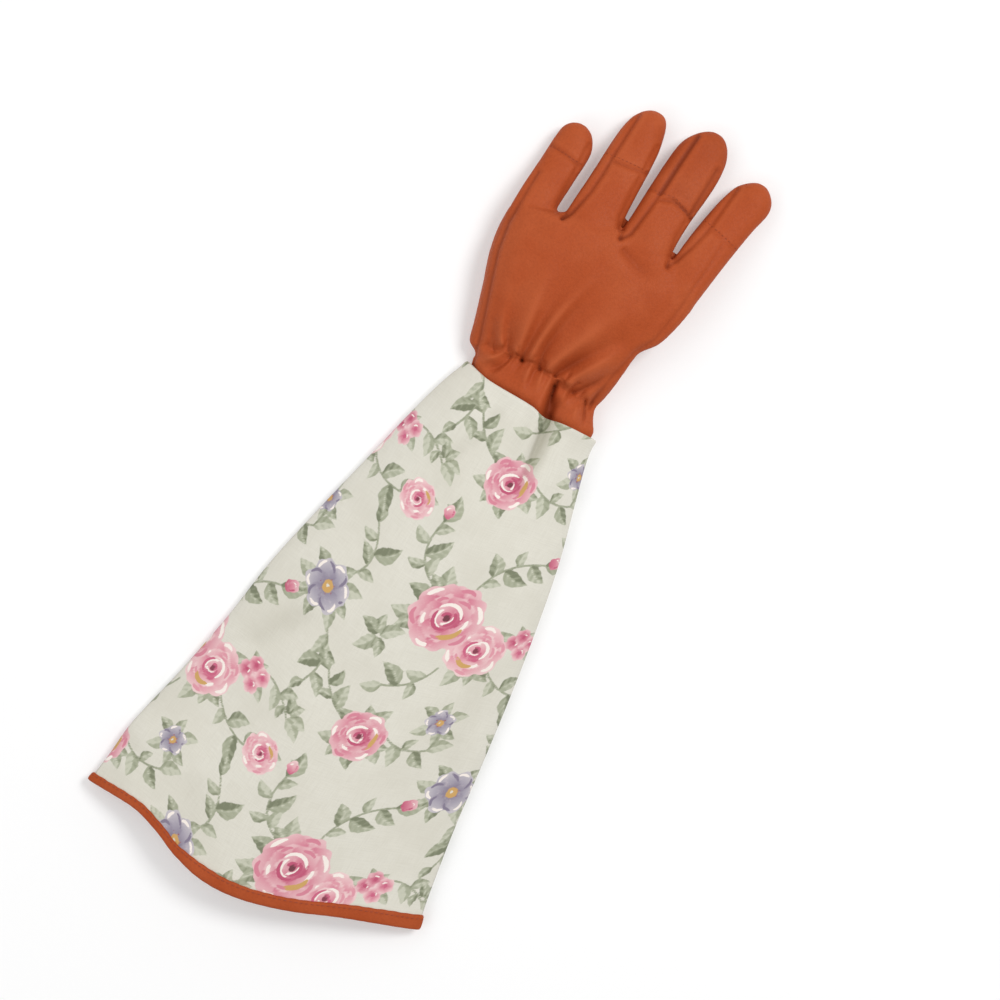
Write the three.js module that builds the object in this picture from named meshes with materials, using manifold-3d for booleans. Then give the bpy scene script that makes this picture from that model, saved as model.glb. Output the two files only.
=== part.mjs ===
// A long gardening glove for the left hand, lying back up on a flat surface, with its thumb folded under the palm.
// Leather hand with gathers at the wrist, and a wide printed cotton cuff whose open hem has a leather binding.
// Millimetres, +Z up, +Y from the hem to the fingertips, +X towards the index finger.
// The tables measure x from the middle of the wrist band and y from the hem's left corner.
// The finished glove is moved so that its origin is the bottom centre of its bounding box.

import * as THREE from "three";
import { mergeVertices } from "three/addons/utils/BufferGeometryUtils.js";
import Module from "manifold-3d";

const wasm = await Module();
wasm.setup();

// Driving dimensions
const GAP = 0.3;
const LEATHER = 1.8;
const CLOTH = 1.5;
const BINDING = 1.4;
const BINDING_WIDTH = 7.5;
const PAD = 2.0;
const TALLEST = 60;
const WIDEST = 200;

// Points around a section
const CUFF_UPPER = 20;
const CUFF_LOWER = 8;
const GATHERS_LOWER = 8;
const HAND_UPPER = 15;
const HAND_LOWER = 8;
const FINGER_UPPER = 8;
const FINGER_LOWER = 6;

// The gathers: their pitch along the elastic, the first one, and how many half waves there are
const ELASTIC = { left: -51, right: 32 };
const FLUTE = { first: -35.3, pitch: 4.6, halves: 27 };
const BESIDE_FLUTES = { left: [-0.75, -0.87, -0.95], right: [0.96] };
// The gathers are gone from this height up, and the sections have fewer points there
const GATHERS_END = 355;

const LEATHER_COLOUR = 0xb85730;
const CLOTH_COLOUR = 0xdedccf;

const table = (columns, ...rows) => {
  const names = columns.split(" ");
  return rows.map((row) => Object.fromEntries(names.map((name, i) => [name, row[i]])));
};

// The cuff's side edges and height, from the hem up to the seam with the leather
const CUFF = table(
  "y left right top edge bottom",
  [0, -114, 94, 23, 7, 1.9],
  [20, -111.5, 90.8, 23.6, 6.5, 1.6],
  [40, -109.5, 87, 24.5, 6, 0.4],
  [80, -100, 81, 26, 5.5, 0],
  [120, -92, 76.5, 27, 5.5, 0],
  [160, -86, 71.5, 27, 5.5, 0],
  [200, -77, 65.5, 27, 6, 0],
  [240, -67, 58, 26.5, 6.5, 0],
  [280, -57, 47.5, 26, 7.5, 0],
  [300, -51, 42.5, 25.5, 8.5, 0],
  [315, -45, 41, 25, 9, 0],
);

// The hem's lower edge, and the seam between the cuff and the leather
const HEM = table(
  "x y",
  [-114, 0],
  [-98, 0.5],
  [-82, 0],
  [-66, -4.5],
  [-50, -11],
  [-30, -15.5],
  [-8, -14.5],
  [20, -7],
  [50, 5],
  [91, 19],
);
const SEAM = table("x y", [-45, 315], [-30, 311.5], [0, 310.5], [9, 308.5], [20, 310.5], [41, 312]);

// The folds of the cuff and of the hand's back: where each runs, how wide it is and how far it stands up or dips
const CUFF_FOLDS = table(
  "x y toX toY width rise",
  [9, 314, 20, 262, 5, -4.2],
  [17, 314, 32, 250, 7, 1.8],
  [-2, 312, 4, 262, 8, 1.4],
  [-14, 305, -42, 222, 9, -2.0],
  [-28, 300, -62, 190, 11, 1.6],
  [0, 250, -30, 120, 20, 1.2],
  [-50, 150, -98, 84, 13, -1.8],
  [-70, 110, -112, 62, 12, 1.2],
  [-112, 36, -74, 18, 7, -1.6],
  [-106, 20, -84, 4, 8, 2.2],
  [-64, 30, -50, -12, 10, -1.2],
  [48, 180, 72, 40, 14, -1.4],
  [30, 120, 46, 6, 18, 1.2],
);
const HAND_FOLDS = table(
  "x y toX toY width rise",
  [8, 331, 9, 306, 3.2, -3.4],
  [-33, 332, -45, 376, 4.5, 1.5],
  [-24, 332, -31, 382, 4, 1.2],
  [-17, 334, -18, 384, 3, -1.5],
  [-11.5, 332, -12, 388, 3.2, 2.0],
  [-6, 334, -5, 384, 3.2, -1.6],
  [0, 332, 5, 372, 4, 1.0],
  [5, 334, 16, 372, 3.5, -1.2],
  [10, 333, 26, 380, 4, 1.5],
  [16, 333, 34, 368, 3.5, -1.2],
  [15, 412, 32, 408, 8, -0.9],
);

// The hand from the seam to the finger roots. heel is the underside's height beside the thumb, over it the
// underside is as high as cradle says, and flute is half the depth of the gathers
const HAND = table(
  "y left right top edgeLeft edgeRight heel cradle flute",
  [312, -45, 41, 25, 9, 9, 0, 0, 0.2],
  [317.5, -43, 36.8, 23.6, 9, 9, 0.3, 0.3, 0.8],
  [321, -44.5, 34.6, 22.4, 9, 9, 0.6, 0.6, 1.1],
  [324.5, -49.5, 33, 21.4, 9, 9, 1, 1, 1.3],
  [328, -51, 32, 20.8, 9, 9.5, 1.6, 1.6, 1.3],
  [334, -52.4, 33.6, 24, 9.5, 10.5, 2.6, 1.6, 1.1],
  [342, -54.6, 35, 28, 10.3, 14.5, 2.6, 3.2, 0.7],
  [351, -57.3, 36, 30.8, 11, 19, 2.6, 11, 0.4],
  [360, -60, 36.8, 32.6, 11, 21, 2.6, 14.4, 0.2],
  [367, -62.5, 38.2, 33.6, 11.5, 22, 2.6, 14.6, 0],
  [376, -65.2, 45, 34.6, 12, 22.5, 2.6, 14.6, 0],
  [388, -67.4, 49, 35, 12.5, 23, 2.6, 14.6, 0],
  [401, -68, 51.6, 35, 13, 23.5, 3, 14.6, 0],
  [407, -66.8, 51.8, 34.2, 14, 23.5, 4, 14.9, 0],
  [414, -42, 46, 32.4, 17, 23, 9, 15.6, 0],
  [421.5, -33, 36, 29, 22, 22, 16, 17.5, 0],
);

// Each finger's side edges. crown is its thickness, root and tip are the heights of its middle
const FINGERS = {
  pinky: {
    crown: 15.5,
    root: 18.5,
    tip: 8.6,
    edges: table(
      "y left right",
      [398, -67.2, -44],
      [408, -67.2, -43.6],
      [420, -66.8, -43.2],
      [436, -65.8, -42.4],
      [452, -65, -42],
      [459, -63.8, -44.6],
      [463, -60.8, -48],
      [465, -57, -52],
    ),
  },
  ring: {
    crown: 16.5,
    root: 23.6,
    tip: 9,
    edges: table(
      "y left right",
      [398, -37, -7],
      [414, -38, -6.6],
      [442, -36.4, -7.6],
      [470, -35, -8.6],
      [482, -32.6, -10.8],
      [488, -29, -12.8],
      [491, -25.6, -15],
      [492.4, -22.5, -17.5],
    ),
  },
  middle: {
    crown: 17,
    root: 24,
    tip: 9.2,
    edges: table(
      "y left right",
      [398, -4, 25],
      [416, -5, 26],
      [440, -4.4, 26],
      [470, -2.8, 28.6],
      [484, -0.8, 28],
      [491.5, 3.4, 25.4],
      [496.5, 8.6, 21.4],
      [498.5, 12.5, 17.8],
    ),
  },
  index: {
    crown: 16.5,
    root: 23.6,
    tip: 9,
    edges: table(
      "y left right",
      [398, 26, 50.8],
      [414, 27.4, 52.8],
      [438, 29.8, 56.2],
      [460, 33.6, 60],
      [472, 36.8, 62.8],
      [478.5, 39.8, 61.8],
      [483.5, 45, 57.8],
      [485.8, 49, 54.2],
    ),
  },
};

// The thumb, folded under the palm and pointing across it
const THUMB = table(
  "y left right bottom top",
  [338.5, 6, 29, 4, 12],
  [345, 3, 32.5, 1.8, 13.4],
  [352, 0.5, 34.2, 0.2, 14.2],
  [362, -4, 33.5, 0, 14.2],
  [375, -10.5, 29.5, 0, 14.2],
  [390, -17.5, 22.8, 0, 14.2],
  [404, -22.3, 15.5, 0, 14.2],
  [414, -23.8, 8.6, 0, 14.2],
  [420.5, -21.6, 2.4, 0, 14.2],
  [424, -18, -3, 0, 14.2],
  [425.6, -14, -8, 0, 14.2],
);

// Seam outlines in plan. A panel is what lies inside its outline
const BACK_PANEL = [
  [-42, 300], [-41.5, 318], [-46, 331], [-50.5, 345], [-56, 362], [-61, 378], [-63.6, 395], [-63, 412],
  [-62, 440], [-61.8, 470], [-20, 505], [47, 505], [48.5, 455], [47.5, 430], [46.5, 405], [44, 381],
  [36.5, 366], [31.5, 348], [28.5, 329], [37, 300],
];
const FOURCHETTES = {
  pinky_ring: [
    [-45, 409], [-45.4, 455], [-40.4, 455], [-40, 483], [-29.6, 483], [-29.8, 450], [-31, 425], [-35, 409],
    [-40, 404],
  ],
  ring_middle: [
    [-10.6, 422], [-11.2, 445], [-11.8, 476], [-6, 476], [-4.6, 488], [6.2, 488], [4.6, 450], [1.6, 424],
    [-3.6, 410], [-6.6, 410],
  ],
  middle_index: [
    [22.4, 424], [23.8, 450], [24.6, 482], [31, 482], [31.4, 474], [39.4, 474], [38, 450], [33.4, 428],
    [28.6, 411], [25.4, 411],
  ],
};
const CAPS = {
  pinky: [[-75, 443.5], [-40.8, 442.5], [-40.8, 480], [-75, 480]],
  ring: [[-40.2, 454.5], [-6.4, 457.5], [-6.4, 510], [-40.2, 510]],
  middle: [[-5.9, 448.5], [12, 451.5], [29.6, 446], [29.6, 510], [-5.9, 510]],
  index: [[30, 450], [47, 446], [75, 440], [75, 510], [30, 510]],
};
const THUMB_CAP = [[-40, 377], [3, 397], [40, 417], [40, 440], [-40, 440]];
const PAD_HEEL = [
  [-57, 382], [-53, 387.5], [-46, 386], [-40, 372], [-34, 354], [-31.5, 342], [-35, 334.5], [-43, 334],
  [-48, 342], [-53.5, 362],
];
const PAD_OVAL = { x: -37, y: 399, width: 19, length: 11, sides: 14 };

// The height that parts the upper layer from the lower one inside the hollow hand
const PARTING = table("y z", [295, 11], [330, 11], [350, 20], [370, 23], [410, 23], [440, 18.5], [465, 13], [505, 9]);

const { clamp, lerp, smoothstep } = THREE.MathUtils;

// A smooth curve through a table's rows, read at any value of its first column
function follow(rows, from, to, at) {
  let i = 0;
  while (i < rows.length - 2 && at > rows[i + 1][from]) i += 1;
  const a = rows[i];
  const b = rows[i + 1];
  const before = rows[Math.max(i - 1, 0)];
  const after = rows[Math.min(i + 2, rows.length - 1)];
  const span = b[from] - a[from];
  const t = clamp((at - a[from]) / span, 0, 1);
  const slopeA = ((b[to] - before[to]) / (b[from] - before[from])) * span;
  const slopeB = ((after[to] - a[to]) / (after[from] - a[from])) * span;
  const rise = b[to] - a[to];
  return a[to] + t * (slopeA + t * (3 * rise - 2 * slopeA - slopeB + t * (slopeA + slopeB - 2 * rise)));
}

// How far the folds raise a point of the upper layer
function foldRise(folds, x, y) {
  let rise = 0;
  for (const fold of folds) {
    const along = new THREE.Vector2(fold.toX - fold.x, fold.toY - fold.y);
    const offset = new THREE.Vector2(x - fold.x, y - fold.y);
    const length = along.length();
    const t = offset.dot(along) / (length * length);
    const away = Math.abs(offset.cross(along)) / length / fold.width;
    const ends = smoothstep(t, -0.12, 0.12) * (1 - smoothstep(t, 0.35, 1.1));
    rise += fold.rise * Math.exp(-away * away) * ends;
  }
  return rise;
}

// Sections are drawn from the right edge over the top to the left edge, and back along the underside.
// u runs from -1 at the left edge to 1 at the right edge, and turn from 0 to 2 all the way round
const upperSample = (u, flute = 0) => ({ u, up: true, flute, turn: (1 - u) / 2 });
const lowerSample = (u) => ({ u, up: false, flute: 0, turn: (3 + u) / 2 });

// Samples stand closer together towards the edges. even is 1 for the same distance everywhere
function spacedSamples(upper, lower, even) {
  const spread = (t) => lerp(Math.cos(Math.PI * t), 1 - 2 * t, even);
  const samples = [];
  for (let i = 0; i < upper; i += 1) samples.push(upperSample(spread(i / upper)));
  for (let i = 0; i < lower; i += 1) samples.push(lowerSample(-spread(i / lower)));
  return samples;
}

// The hand's upper samples sit on the crests and in the dips of the gathers
function gatheredSamples() {
  const middle = (ELASTIC.left + ELASTIC.right) / 2;
  const half = (ELASTIC.right - ELASTIC.left) / 2;
  const upper = [1, ...BESIDE_FLUTES.right].map((u) => upperSample(u));
  for (let i = FLUTE.halves; i >= 0; i -= 1) {
    const x = FLUTE.first + (i * FLUTE.pitch) / 2;
    upper.push(upperSample((x - middle) / half, i % 2 ? 1 : -1));
  }
  for (const u of BESIDE_FLUTES.left) upper.push(upperSample(u));
  return [...upper, ...spacedSamples(0, GATHERS_LOWER, 0)];
}

const makeRing = (samples, place) => samples.map((sample) => ({ turn: sample.turn, point: place(sample) }));

const softArch = (u) => Math.pow(1 - Math.pow(Math.abs(u), 2.2), 0.72);
const handArch = (u) => Math.pow(1 - Math.pow(Math.abs(u), 2.6), 0.5);
const roundArch = (u) => Math.pow(1 - Math.pow(Math.abs(u), 2.3), 0.46);
const flatArch = (u) => Math.pow(1 - Math.pow(Math.abs(u), 6), 0.5);

// A point of the cuff's wall. v is 0 at the hem and 1 at the seam, and inset is the depth below the outer face
function cuffPoint({ u, up }, v, inset) {
  const across = (u + 1) / 2;
  const hemX = lerp(HEM[0].x, HEM.at(-1).x, across);
  const seamX = lerp(SEAM[0].x, SEAM.at(-1).x, across);
  const y = lerp(follow(HEM, "x", "y", hemX), follow(SEAM, "x", "y", seamX), v);
  const leftY = lerp(HEM[0].y, SEAM[0].y, v);
  const rightY = lerp(HEM.at(-1).y, SEAM.at(-1).y, v);
  const left = follow(CUFF, "y", "left", leftY) + inset;
  const right = follow(CUFF, "y", "right", rightY) - inset;
  const x = lerp(left, right, across);
  const levelY = clamp(lerp(leftY, rightY, 0.5), 0, CUFF.at(-1).y);
  const edge = follow(CUFF, "y", "edge", levelY);
  const top = follow(CUFF, "y", "top", levelY) + foldRise(CUFF_FOLDS, x, y) - inset;
  const bottom = follow(CUFF, "y", "bottom", levelY) + inset;
  const z = up ? lerp(edge, top, softArch(u)) : lerp(edge, bottom, flatArch(u));
  return new THREE.Vector3(x, y, z);
}

// A point of the hand's wall at one row of its table
function handPoint({ u, up, flute }, row, inset) {
  const across = (u + 1) / 2;
  const x = lerp(row.left + inset, row.right - inset, across);
  const seamX = lerp(SEAM[0].x, SEAM.at(-1).x, across);
  const nearSeam = 1 - smoothstep(row.y, HAND[0].y, 330);
  const y = row.y + (follow(SEAM, "x", "y", seamX) + 2 * GAP - HAND[0].y) * nearSeam;
  const edge = lerp(row.edgeLeft, row.edgeRight, across);
  const crest = row.top + foldRise(HAND_FOLDS, x, y) + flute * row.flute - inset;
  const under = lerp(row.heel, row.cradle, smoothstep(x, -42, -22)) + inset;
  const z = up ? lerp(edge, crest, handArch(u)) : lerp(edge, under, flatArch(u));
  return new THREE.Vector3(x, y, z);
}

// How round the end of a finger is, by the distance from its tip
const tipRounding = (distance, reach) => Math.sqrt(1 - Math.pow(1 - clamp(distance / reach, 0.03, 1), 2));

function fingerPoint({ u, up }, row, finger, inset) {
  const first = finger.edges[0].y;
  const last = finger.edges.at(-1).y;
  const along = smoothstep(row.y, first + 8, last);
  const middle = lerp(finger.root, finger.tip, along);
  const half = (finger.crown / 2 - inset) * tipRounding(last - row.y, 11);
  const x = lerp(row.left + inset, row.right - inset, (u + 1) / 2);
  const z = middle + (up ? half : -half) * roundArch(u);
  return new THREE.Vector3(x, row.y === first ? row.y : row.y - inset, z);
}

function thumbPoint({ u, up }, row, inset) {
  const half = ((row.top - row.bottom) / 2 - inset) * tipRounding(THUMB.at(-1).y - row.y, 10);
  const x = lerp(row.left + inset, row.right - inset, (u + 1) / 2);
  const z = (row.top + row.bottom) / 2 + (up ? half : -half) * roundArch(u);
  return new THREE.Vector3(x, row.y === THUMB[0].y ? row.y : row.y - inset, z);
}

// The faces between two rings, which may have different numbers of points
function bridge(a, b) {
  const faces = [];
  const nextTurn = (ring, i) => (i + 1 < ring.turns.length ? ring.turns[i + 1] : 2);
  const index = (ring, i) => ring.start + (i % ring.turns.length);
  let i = 0;
  let j = 0;
  while (i < a.turns.length || j < b.turns.length) {
    const stepOnA = j >= b.turns.length || (i < a.turns.length && nextTurn(a, i) <= nextTurn(b, j));
    faces.push(index(a, i), index(b, j), stepOnA ? index(a, i + 1) : index(b, j + 1));
    if (stepOnA) i += 1;
    else j += 1;
  }
  return faces;
}

// The faces that fill a ring at one end of a skin, in rungs from its upper side to its lower side
function fill(ring, start, atFirstEnd) {
  const indices = ring.map((entry, i) => i);
  const upper = indices.filter((i) => ring[i].turn <= 1);
  const lower = [0, ...indices.filter((i) => ring[i].turn >= 1).reverse()];
  const faces = [];
  let i = 0;
  let j = 0;
  while (i < upper.length - 1 || j < lower.length - 1) {
    const nextUpper = i < upper.length - 1 ? ring[upper[i + 1]].turn : 2;
    const nextLower = j < lower.length - 1 ? 2 - ring[lower[j + 1]].turn : 2;
    const stepOnUpper = nextUpper <= nextLower;
    const face = stepOnUpper ? [upper[i], upper[i + 1], lower[j]] : [lower[j + 1], lower[j], upper[i]];
    if (new Set(face).size === 3) faces.push(...(atFirstEnd ? face : face.reverse()));
    if (stepOnUpper) i += 1;
    else j += 1;
  }
  return faces.map((index) => start + index);
}

// A closed skin through rings of points, with both ends filled
function loft(rings) {
  const starts = [0];
  for (const ring of rings) starts.push(starts.at(-1) + ring.length);
  const last = rings.length - 1;
  const faces = [...fill(rings[0], 0, true), ...fill(rings[last], starts[last], false)];
  const outline = (row) => ({ start: starts[row], turns: rings[row].map(({ turn }) => turn) });
  for (let row = 0; row < last; row += 1) faces.push(...bridge(outline(row), outline(row + 1)));
  const positions = rings.flat().flatMap(({ point }) => point.toArray());
  const geometry = new THREE.BufferGeometry();
  geometry.setAttribute("position", new THREE.Float32BufferAttribute(positions, 3));
  geometry.setIndex(faces);
  return toSolid(geometry);
}

// A plan outline as a tall prism
function prism(outline) {
  const shape = new THREE.Shape(outline.map(([x, y]) => new THREE.Vector2(x, y)));
  const geometry = new THREE.ExtrudeGeometry(shape, { depth: 2 * TALLEST, bevelEnabled: false });
  return toSolid(geometry.translate(0, 0, -TALLEST));
}

// An outline moved outwards all round
function grow(outline, distance) {
  const points = outline.map(([x, y]) => new THREE.Vector2(x, y));
  const turn = THREE.ShapeUtils.area(points) > 0 ? 1 : -1;
  return points.map((point, i) => {
    const before = points[(i + points.length - 1) % points.length];
    const after = points[(i + 1) % points.length];
    const into = point.clone().sub(before).normalize();
    const out = after.clone().sub(point).normalize();
    const normal = new THREE.Vector2(into.y + out.y, -into.x - out.x).multiplyScalar(turn).normalize();
    const stretch = 1 / Math.max(0.4, normal.dot(new THREE.Vector2(into.y, -into.x).multiplyScalar(turn)));
    return [point.x + normal.x * distance * stretch, point.y + normal.y * distance * stretch];
  });
}

function oval({ x, y, width, length, sides }) {
  return Array.from({ length: sides }, (unused, i) => {
    const angle = (2 * Math.PI * i) / sides;
    return [x + (width / 2) * Math.cos(angle), y + (length / 2) * Math.sin(angle)];
  });
}

// A three.js geometry as a solid with its faces pointing out
function toSolid(geometry) {
  geometry.deleteAttribute("normal");
  geometry.deleteAttribute("uv");
  const merged = mergeVertices(geometry, 1e-4);
  const vertProperties = new Float32Array(merged.attributes.position.array);
  const triVerts = new Uint32Array(merged.index.array);
  return new wasm.Manifold(new wasm.Mesh({ numProp: 3, vertProperties, triVerts }));
}

function toMesh(name, solid, colour, roughness) {
  const { numProp, vertProperties, triVerts } = solid.getMesh();
  const positions = new Float32Array((vertProperties.length / numProp) * 3);
  for (let i = 0; i < positions.length / 3; i += 1) {
    positions.set(vertProperties.slice(i * numProp, i * numProp + 3), i * 3);
  }
  const geometry = new THREE.BufferGeometry();
  geometry.setAttribute("position", new THREE.BufferAttribute(positions, 3));
  geometry.setIndex(new THREE.BufferAttribute(new Uint32Array(triVerts), 1));
  geometry.computeVertexNormals();
  const mesh = new THREE.Mesh(geometry, new THREE.MeshStandardMaterial({ color: colour, roughness }));
  mesh.name = name;
  return mesh;
}

// The cuff

const cuffSamples = spacedSamples(CUFF_UPPER, CUFF_LOWER, 0.6);
const CUFF_LENGTH = SEAM[0].y - HEM[0].y;
const CUFF_STEPS = [0.1, 0.16, 0.24, 0.33, 0.43, 0.53, 0.62, 0.7, 0.77, 0.83, 0.88, 0.92, 0.96, 1];

const cuffBody = (steps, inset) =>
  loft(steps.map((v) => makeRing(cuffSamples, (sample) => cuffPoint(sample, v, inset))));

const PAST = 0.01;
const ABOVE_BINDING = BINDING_WIDTH / CUFF_LENGTH + PAST;

// The hollow needs only every other section
function makeGauntlet() {
  const start = (BINDING + GAP) / CUFF_LENGTH;
  const hollowSteps = CUFF_STEPS.filter((v, i) => i % 2 === 0 && v < 1);
  const outer = cuffBody([start, ABOVE_BINDING, ...CUFF_STEPS], 0);
  return outer.subtract(cuffBody([start - PAST, ABOVE_BINDING, ...hollowSteps, 1 + PAST], CLOTH));
}

// The largest body of a solid, without the crumbs that a cut leaves
const largest = (solid) => solid.decompose().reduce((a, b) => (b.volume() > a.volume() ? b : a));

// A strip folded over the hem, with room in it for the cloth
function makeBinding() {
  const strip = cuffBody([0, BINDING_WIDTH / CUFF_LENGTH], -(GAP + BINDING));
  const hollow = cuffBody([-PAST, ABOVE_BINDING], CLOTH + GAP + BINDING);
  const roomOutside = cuffBody([BINDING / CUFF_LENGTH, ABOVE_BINDING], -GAP);
  const roomInside = cuffBody([-PAST, ABOVE_BINDING], CLOTH + GAP);
  return largest(strip.subtract(hollow).subtract(roomOutside.subtract(roomInside)));
}

// The hand

const gathersRing = gatheredSamples();
const handRing = spacedSamples(HAND_UPPER, HAND_LOWER, 0.3);
const fingerRing = spacedSamples(FINGER_UPPER, FINGER_LOWER, 0);

function handBody(rows, inset) {
  const samples = (row) => (row.y < GATHERS_END ? gathersRing : handRing);
  return loft(rows.map((row) => makeRing(samples(row), (sample) => handPoint(sample, row, inset))));
}

const fingerBody = (finger, inset) =>
  loft(finger.edges.map((row) => makeRing(fingerRing, (sample) => fingerPoint(sample, row, finger, inset))));

const thumbBody = (inset) =>
  loft(THUMB.map((row) => makeRing(fingerRing, (sample) => thumbPoint(sample, row, inset))));

// The hollow reaches past the cuff seam, where the hand is open, and stops a wall's thickness before the webs
function handHollow() {
  const mouth = { ...HAND[0], y: HAND[0].y - 6 };
  const rows = [mouth, ...HAND.slice(0, -1), { ...HAND.at(-1), y: HAND.at(-1).y - LEATHER }];
  let hollow = handBody(rows, LEATHER);
  for (const finger of Object.values(FINGERS)) hollow = hollow.add(fingerBody(finger, LEATHER));
  return hollow;
}

function handShell() {
  let outer = handBody(HAND, 0);
  for (const finger of Object.values(FINGERS)) outer = outer.add(fingerBody(finger, 0));
  return outer.subtract(handHollow());
}

// All that lies above the parting height
function upperHalf() {
  const corners = [[1, 0], [1, 1], [-1, 1], [-1, 0]];
  const place = (row, side, up) => new THREE.Vector3(side * WIDEST, row.y, up ? TALLEST : row.z);
  return loft(PARTING.map((row) => corners.map(([side, up], i) => ({ turn: i / 2, point: place(row, side, up) }))));
}

function makePad(outline) {
  const layer = handBody(HAND, -(GAP + PAD)).subtract(handBody(HAND, -GAP));
  return layer.intersect(prism(outline)).subtract(upperHalf());
}

function makeHand() {
  const pieces = {};
  const half = GAP / 2;
  const shell = handShell();
  let strips = null;
  for (const [name, outline] of Object.entries(FOURCHETTES)) {
    pieces[`fourchette_${name}`] = shell.intersect(prism(grow(outline, -half)));
    const room = prism(grow(outline, half));
    strips = strips ? strips.add(room) : room;
  }
  let rest = shell.subtract(strips);
  for (const [name, outline] of Object.entries(CAPS)) {
    pieces[`cap_${name}`] = rest.intersect(prism(grow(outline, -half)));
  }
  for (const outline of Object.values(CAPS)) rest = rest.subtract(prism(grow(outline, half)));
  const upper = upperHalf();
  pieces.hand_back = rest.intersect(prism(grow(BACK_PANEL, -half)).intersect(upper));
  const thumbHole = thumbBody(LEATHER);
  pieces.hand_palm = rest.subtract(prism(grow(BACK_PANEL, half)).intersect(upper)).subtract(thumbHole);
  const thumb = thumbBody(0).subtract(thumbHole).subtract(handBody(HAND, -GAP));
  pieces.thumb = thumb.subtract(prism(grow(THUMB_CAP, half)));
  pieces.thumb_cap = thumb.intersect(prism(grow(THUMB_CAP, -half)));
  pieces.pad_heel = makePad(PAD_HEEL);
  pieces.pad_oval = makePad(oval(PAD_OVAL));
  return pieces;
}

const glove = new THREE.Group();
glove.add(toMesh("gauntlet", makeGauntlet(), CLOTH_COLOUR, 0.9));
glove.add(toMesh("hem_binding", makeBinding(), LEATHER_COLOUR, 0.6));
for (const [name, solid] of Object.entries(makeHand())) glove.add(toMesh(name, solid, LEATHER_COLOUR, 0.6));

const box = new THREE.Box3().setFromObject(glove);
const middle = box.getCenter(new THREE.Vector3());
glove.position.set(-middle.x, -middle.y, -box.min.z);

const part = new THREE.Group();
part.add(glove);

export default part;
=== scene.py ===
import math

import bpy
import numpy as np
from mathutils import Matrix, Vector
from mathutils.bvhtree import BVHTree


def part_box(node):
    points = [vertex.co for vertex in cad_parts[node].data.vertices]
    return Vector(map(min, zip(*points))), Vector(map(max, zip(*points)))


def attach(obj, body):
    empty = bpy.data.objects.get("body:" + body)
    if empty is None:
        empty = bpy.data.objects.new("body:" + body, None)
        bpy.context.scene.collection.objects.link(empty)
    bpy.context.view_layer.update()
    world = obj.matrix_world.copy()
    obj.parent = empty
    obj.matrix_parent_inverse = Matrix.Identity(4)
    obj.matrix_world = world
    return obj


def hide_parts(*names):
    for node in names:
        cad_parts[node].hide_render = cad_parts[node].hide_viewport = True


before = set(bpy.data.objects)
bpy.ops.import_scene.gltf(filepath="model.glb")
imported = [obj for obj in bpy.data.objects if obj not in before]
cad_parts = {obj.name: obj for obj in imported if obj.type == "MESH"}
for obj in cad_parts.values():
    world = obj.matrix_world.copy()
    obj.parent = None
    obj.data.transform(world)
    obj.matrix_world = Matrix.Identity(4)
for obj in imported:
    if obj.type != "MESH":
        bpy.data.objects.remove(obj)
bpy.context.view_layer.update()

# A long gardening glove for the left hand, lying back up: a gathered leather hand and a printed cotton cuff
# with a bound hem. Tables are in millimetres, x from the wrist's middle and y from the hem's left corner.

MM = 0.001


def table(columns, *rows):
    """Rows of numbers as named columns."""
    return {name: np.array([row[i] for row in rows], float) for i, name in enumerate(columns.split())}


# The cuff's side edges and height, from the hem up to the seam with the leather
CUFF = table(
    "y left right top edge bottom",
    [0, -114, 94, 23, 7, 1.9],
    [20, -111.5, 90.8, 23.6, 6.5, 1.6],
    [40, -109.5, 87, 24.5, 6, 0.4],
    [80, -100, 81, 26, 5.5, 0],
    [120, -92, 76.5, 27, 5.5, 0],
    [160, -86, 71.5, 27, 5.5, 0],
    [200, -77, 65.5, 27, 6, 0],
    [240, -67, 58, 26.5, 6.5, 0],
    [280, -57, 47.5, 26, 7.5, 0],
    [300, -51, 42.5, 25.5, 8.5, 0],
    [315, -45, 41, 25, 9, 0],
)
HEM = table(
    "x y", [-114, 0], [-98, 0.5], [-82, 0], [-66, -4.5], [-50, -11], [-30, -15.5], [-8, -14.5], [20, -7],
    [50, 5], [91, 19],
)
SEAM = table("x y", [-45, 315], [-30, 311.5], [0, 310.5], [9, 308.5], [20, 310.5], [41, 312])

# Folds: where each runs, how wide it is and how far it stands up or dips
CUFF_FOLDS = table(
    "x y to_x to_y width rise",
    [8.4, 330, 18.4, 252, 2.4, -3.0],
    [12, 330, 23, 248, 5.6, -3.2],
    [22, 330, 36, 250, 6, 1.6],
    [2.5, 330, 11, 262, 4.5, 2.0],
    [-14, 305, -42, 222, 9, -2.0],
    [-28, 300, -62, 190, 11, 1.6],
    [0, 250, -30, 120, 20, 1.2],
    [-50, 150, -98, 84, 13, -1.8],
    [-70, 110, -112, 62, 12, 1.2],
    [-112, 36, -74, 18, 7, -1.6],
    [-106, 20, -84, 4, 8, 2.2],
    [-64, 30, -50, -12, 10, -1.2],
    [48, 180, 72, 40, 14, -1.4],
    [30, 120, 46, 6, 18, 1.2],
)
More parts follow.
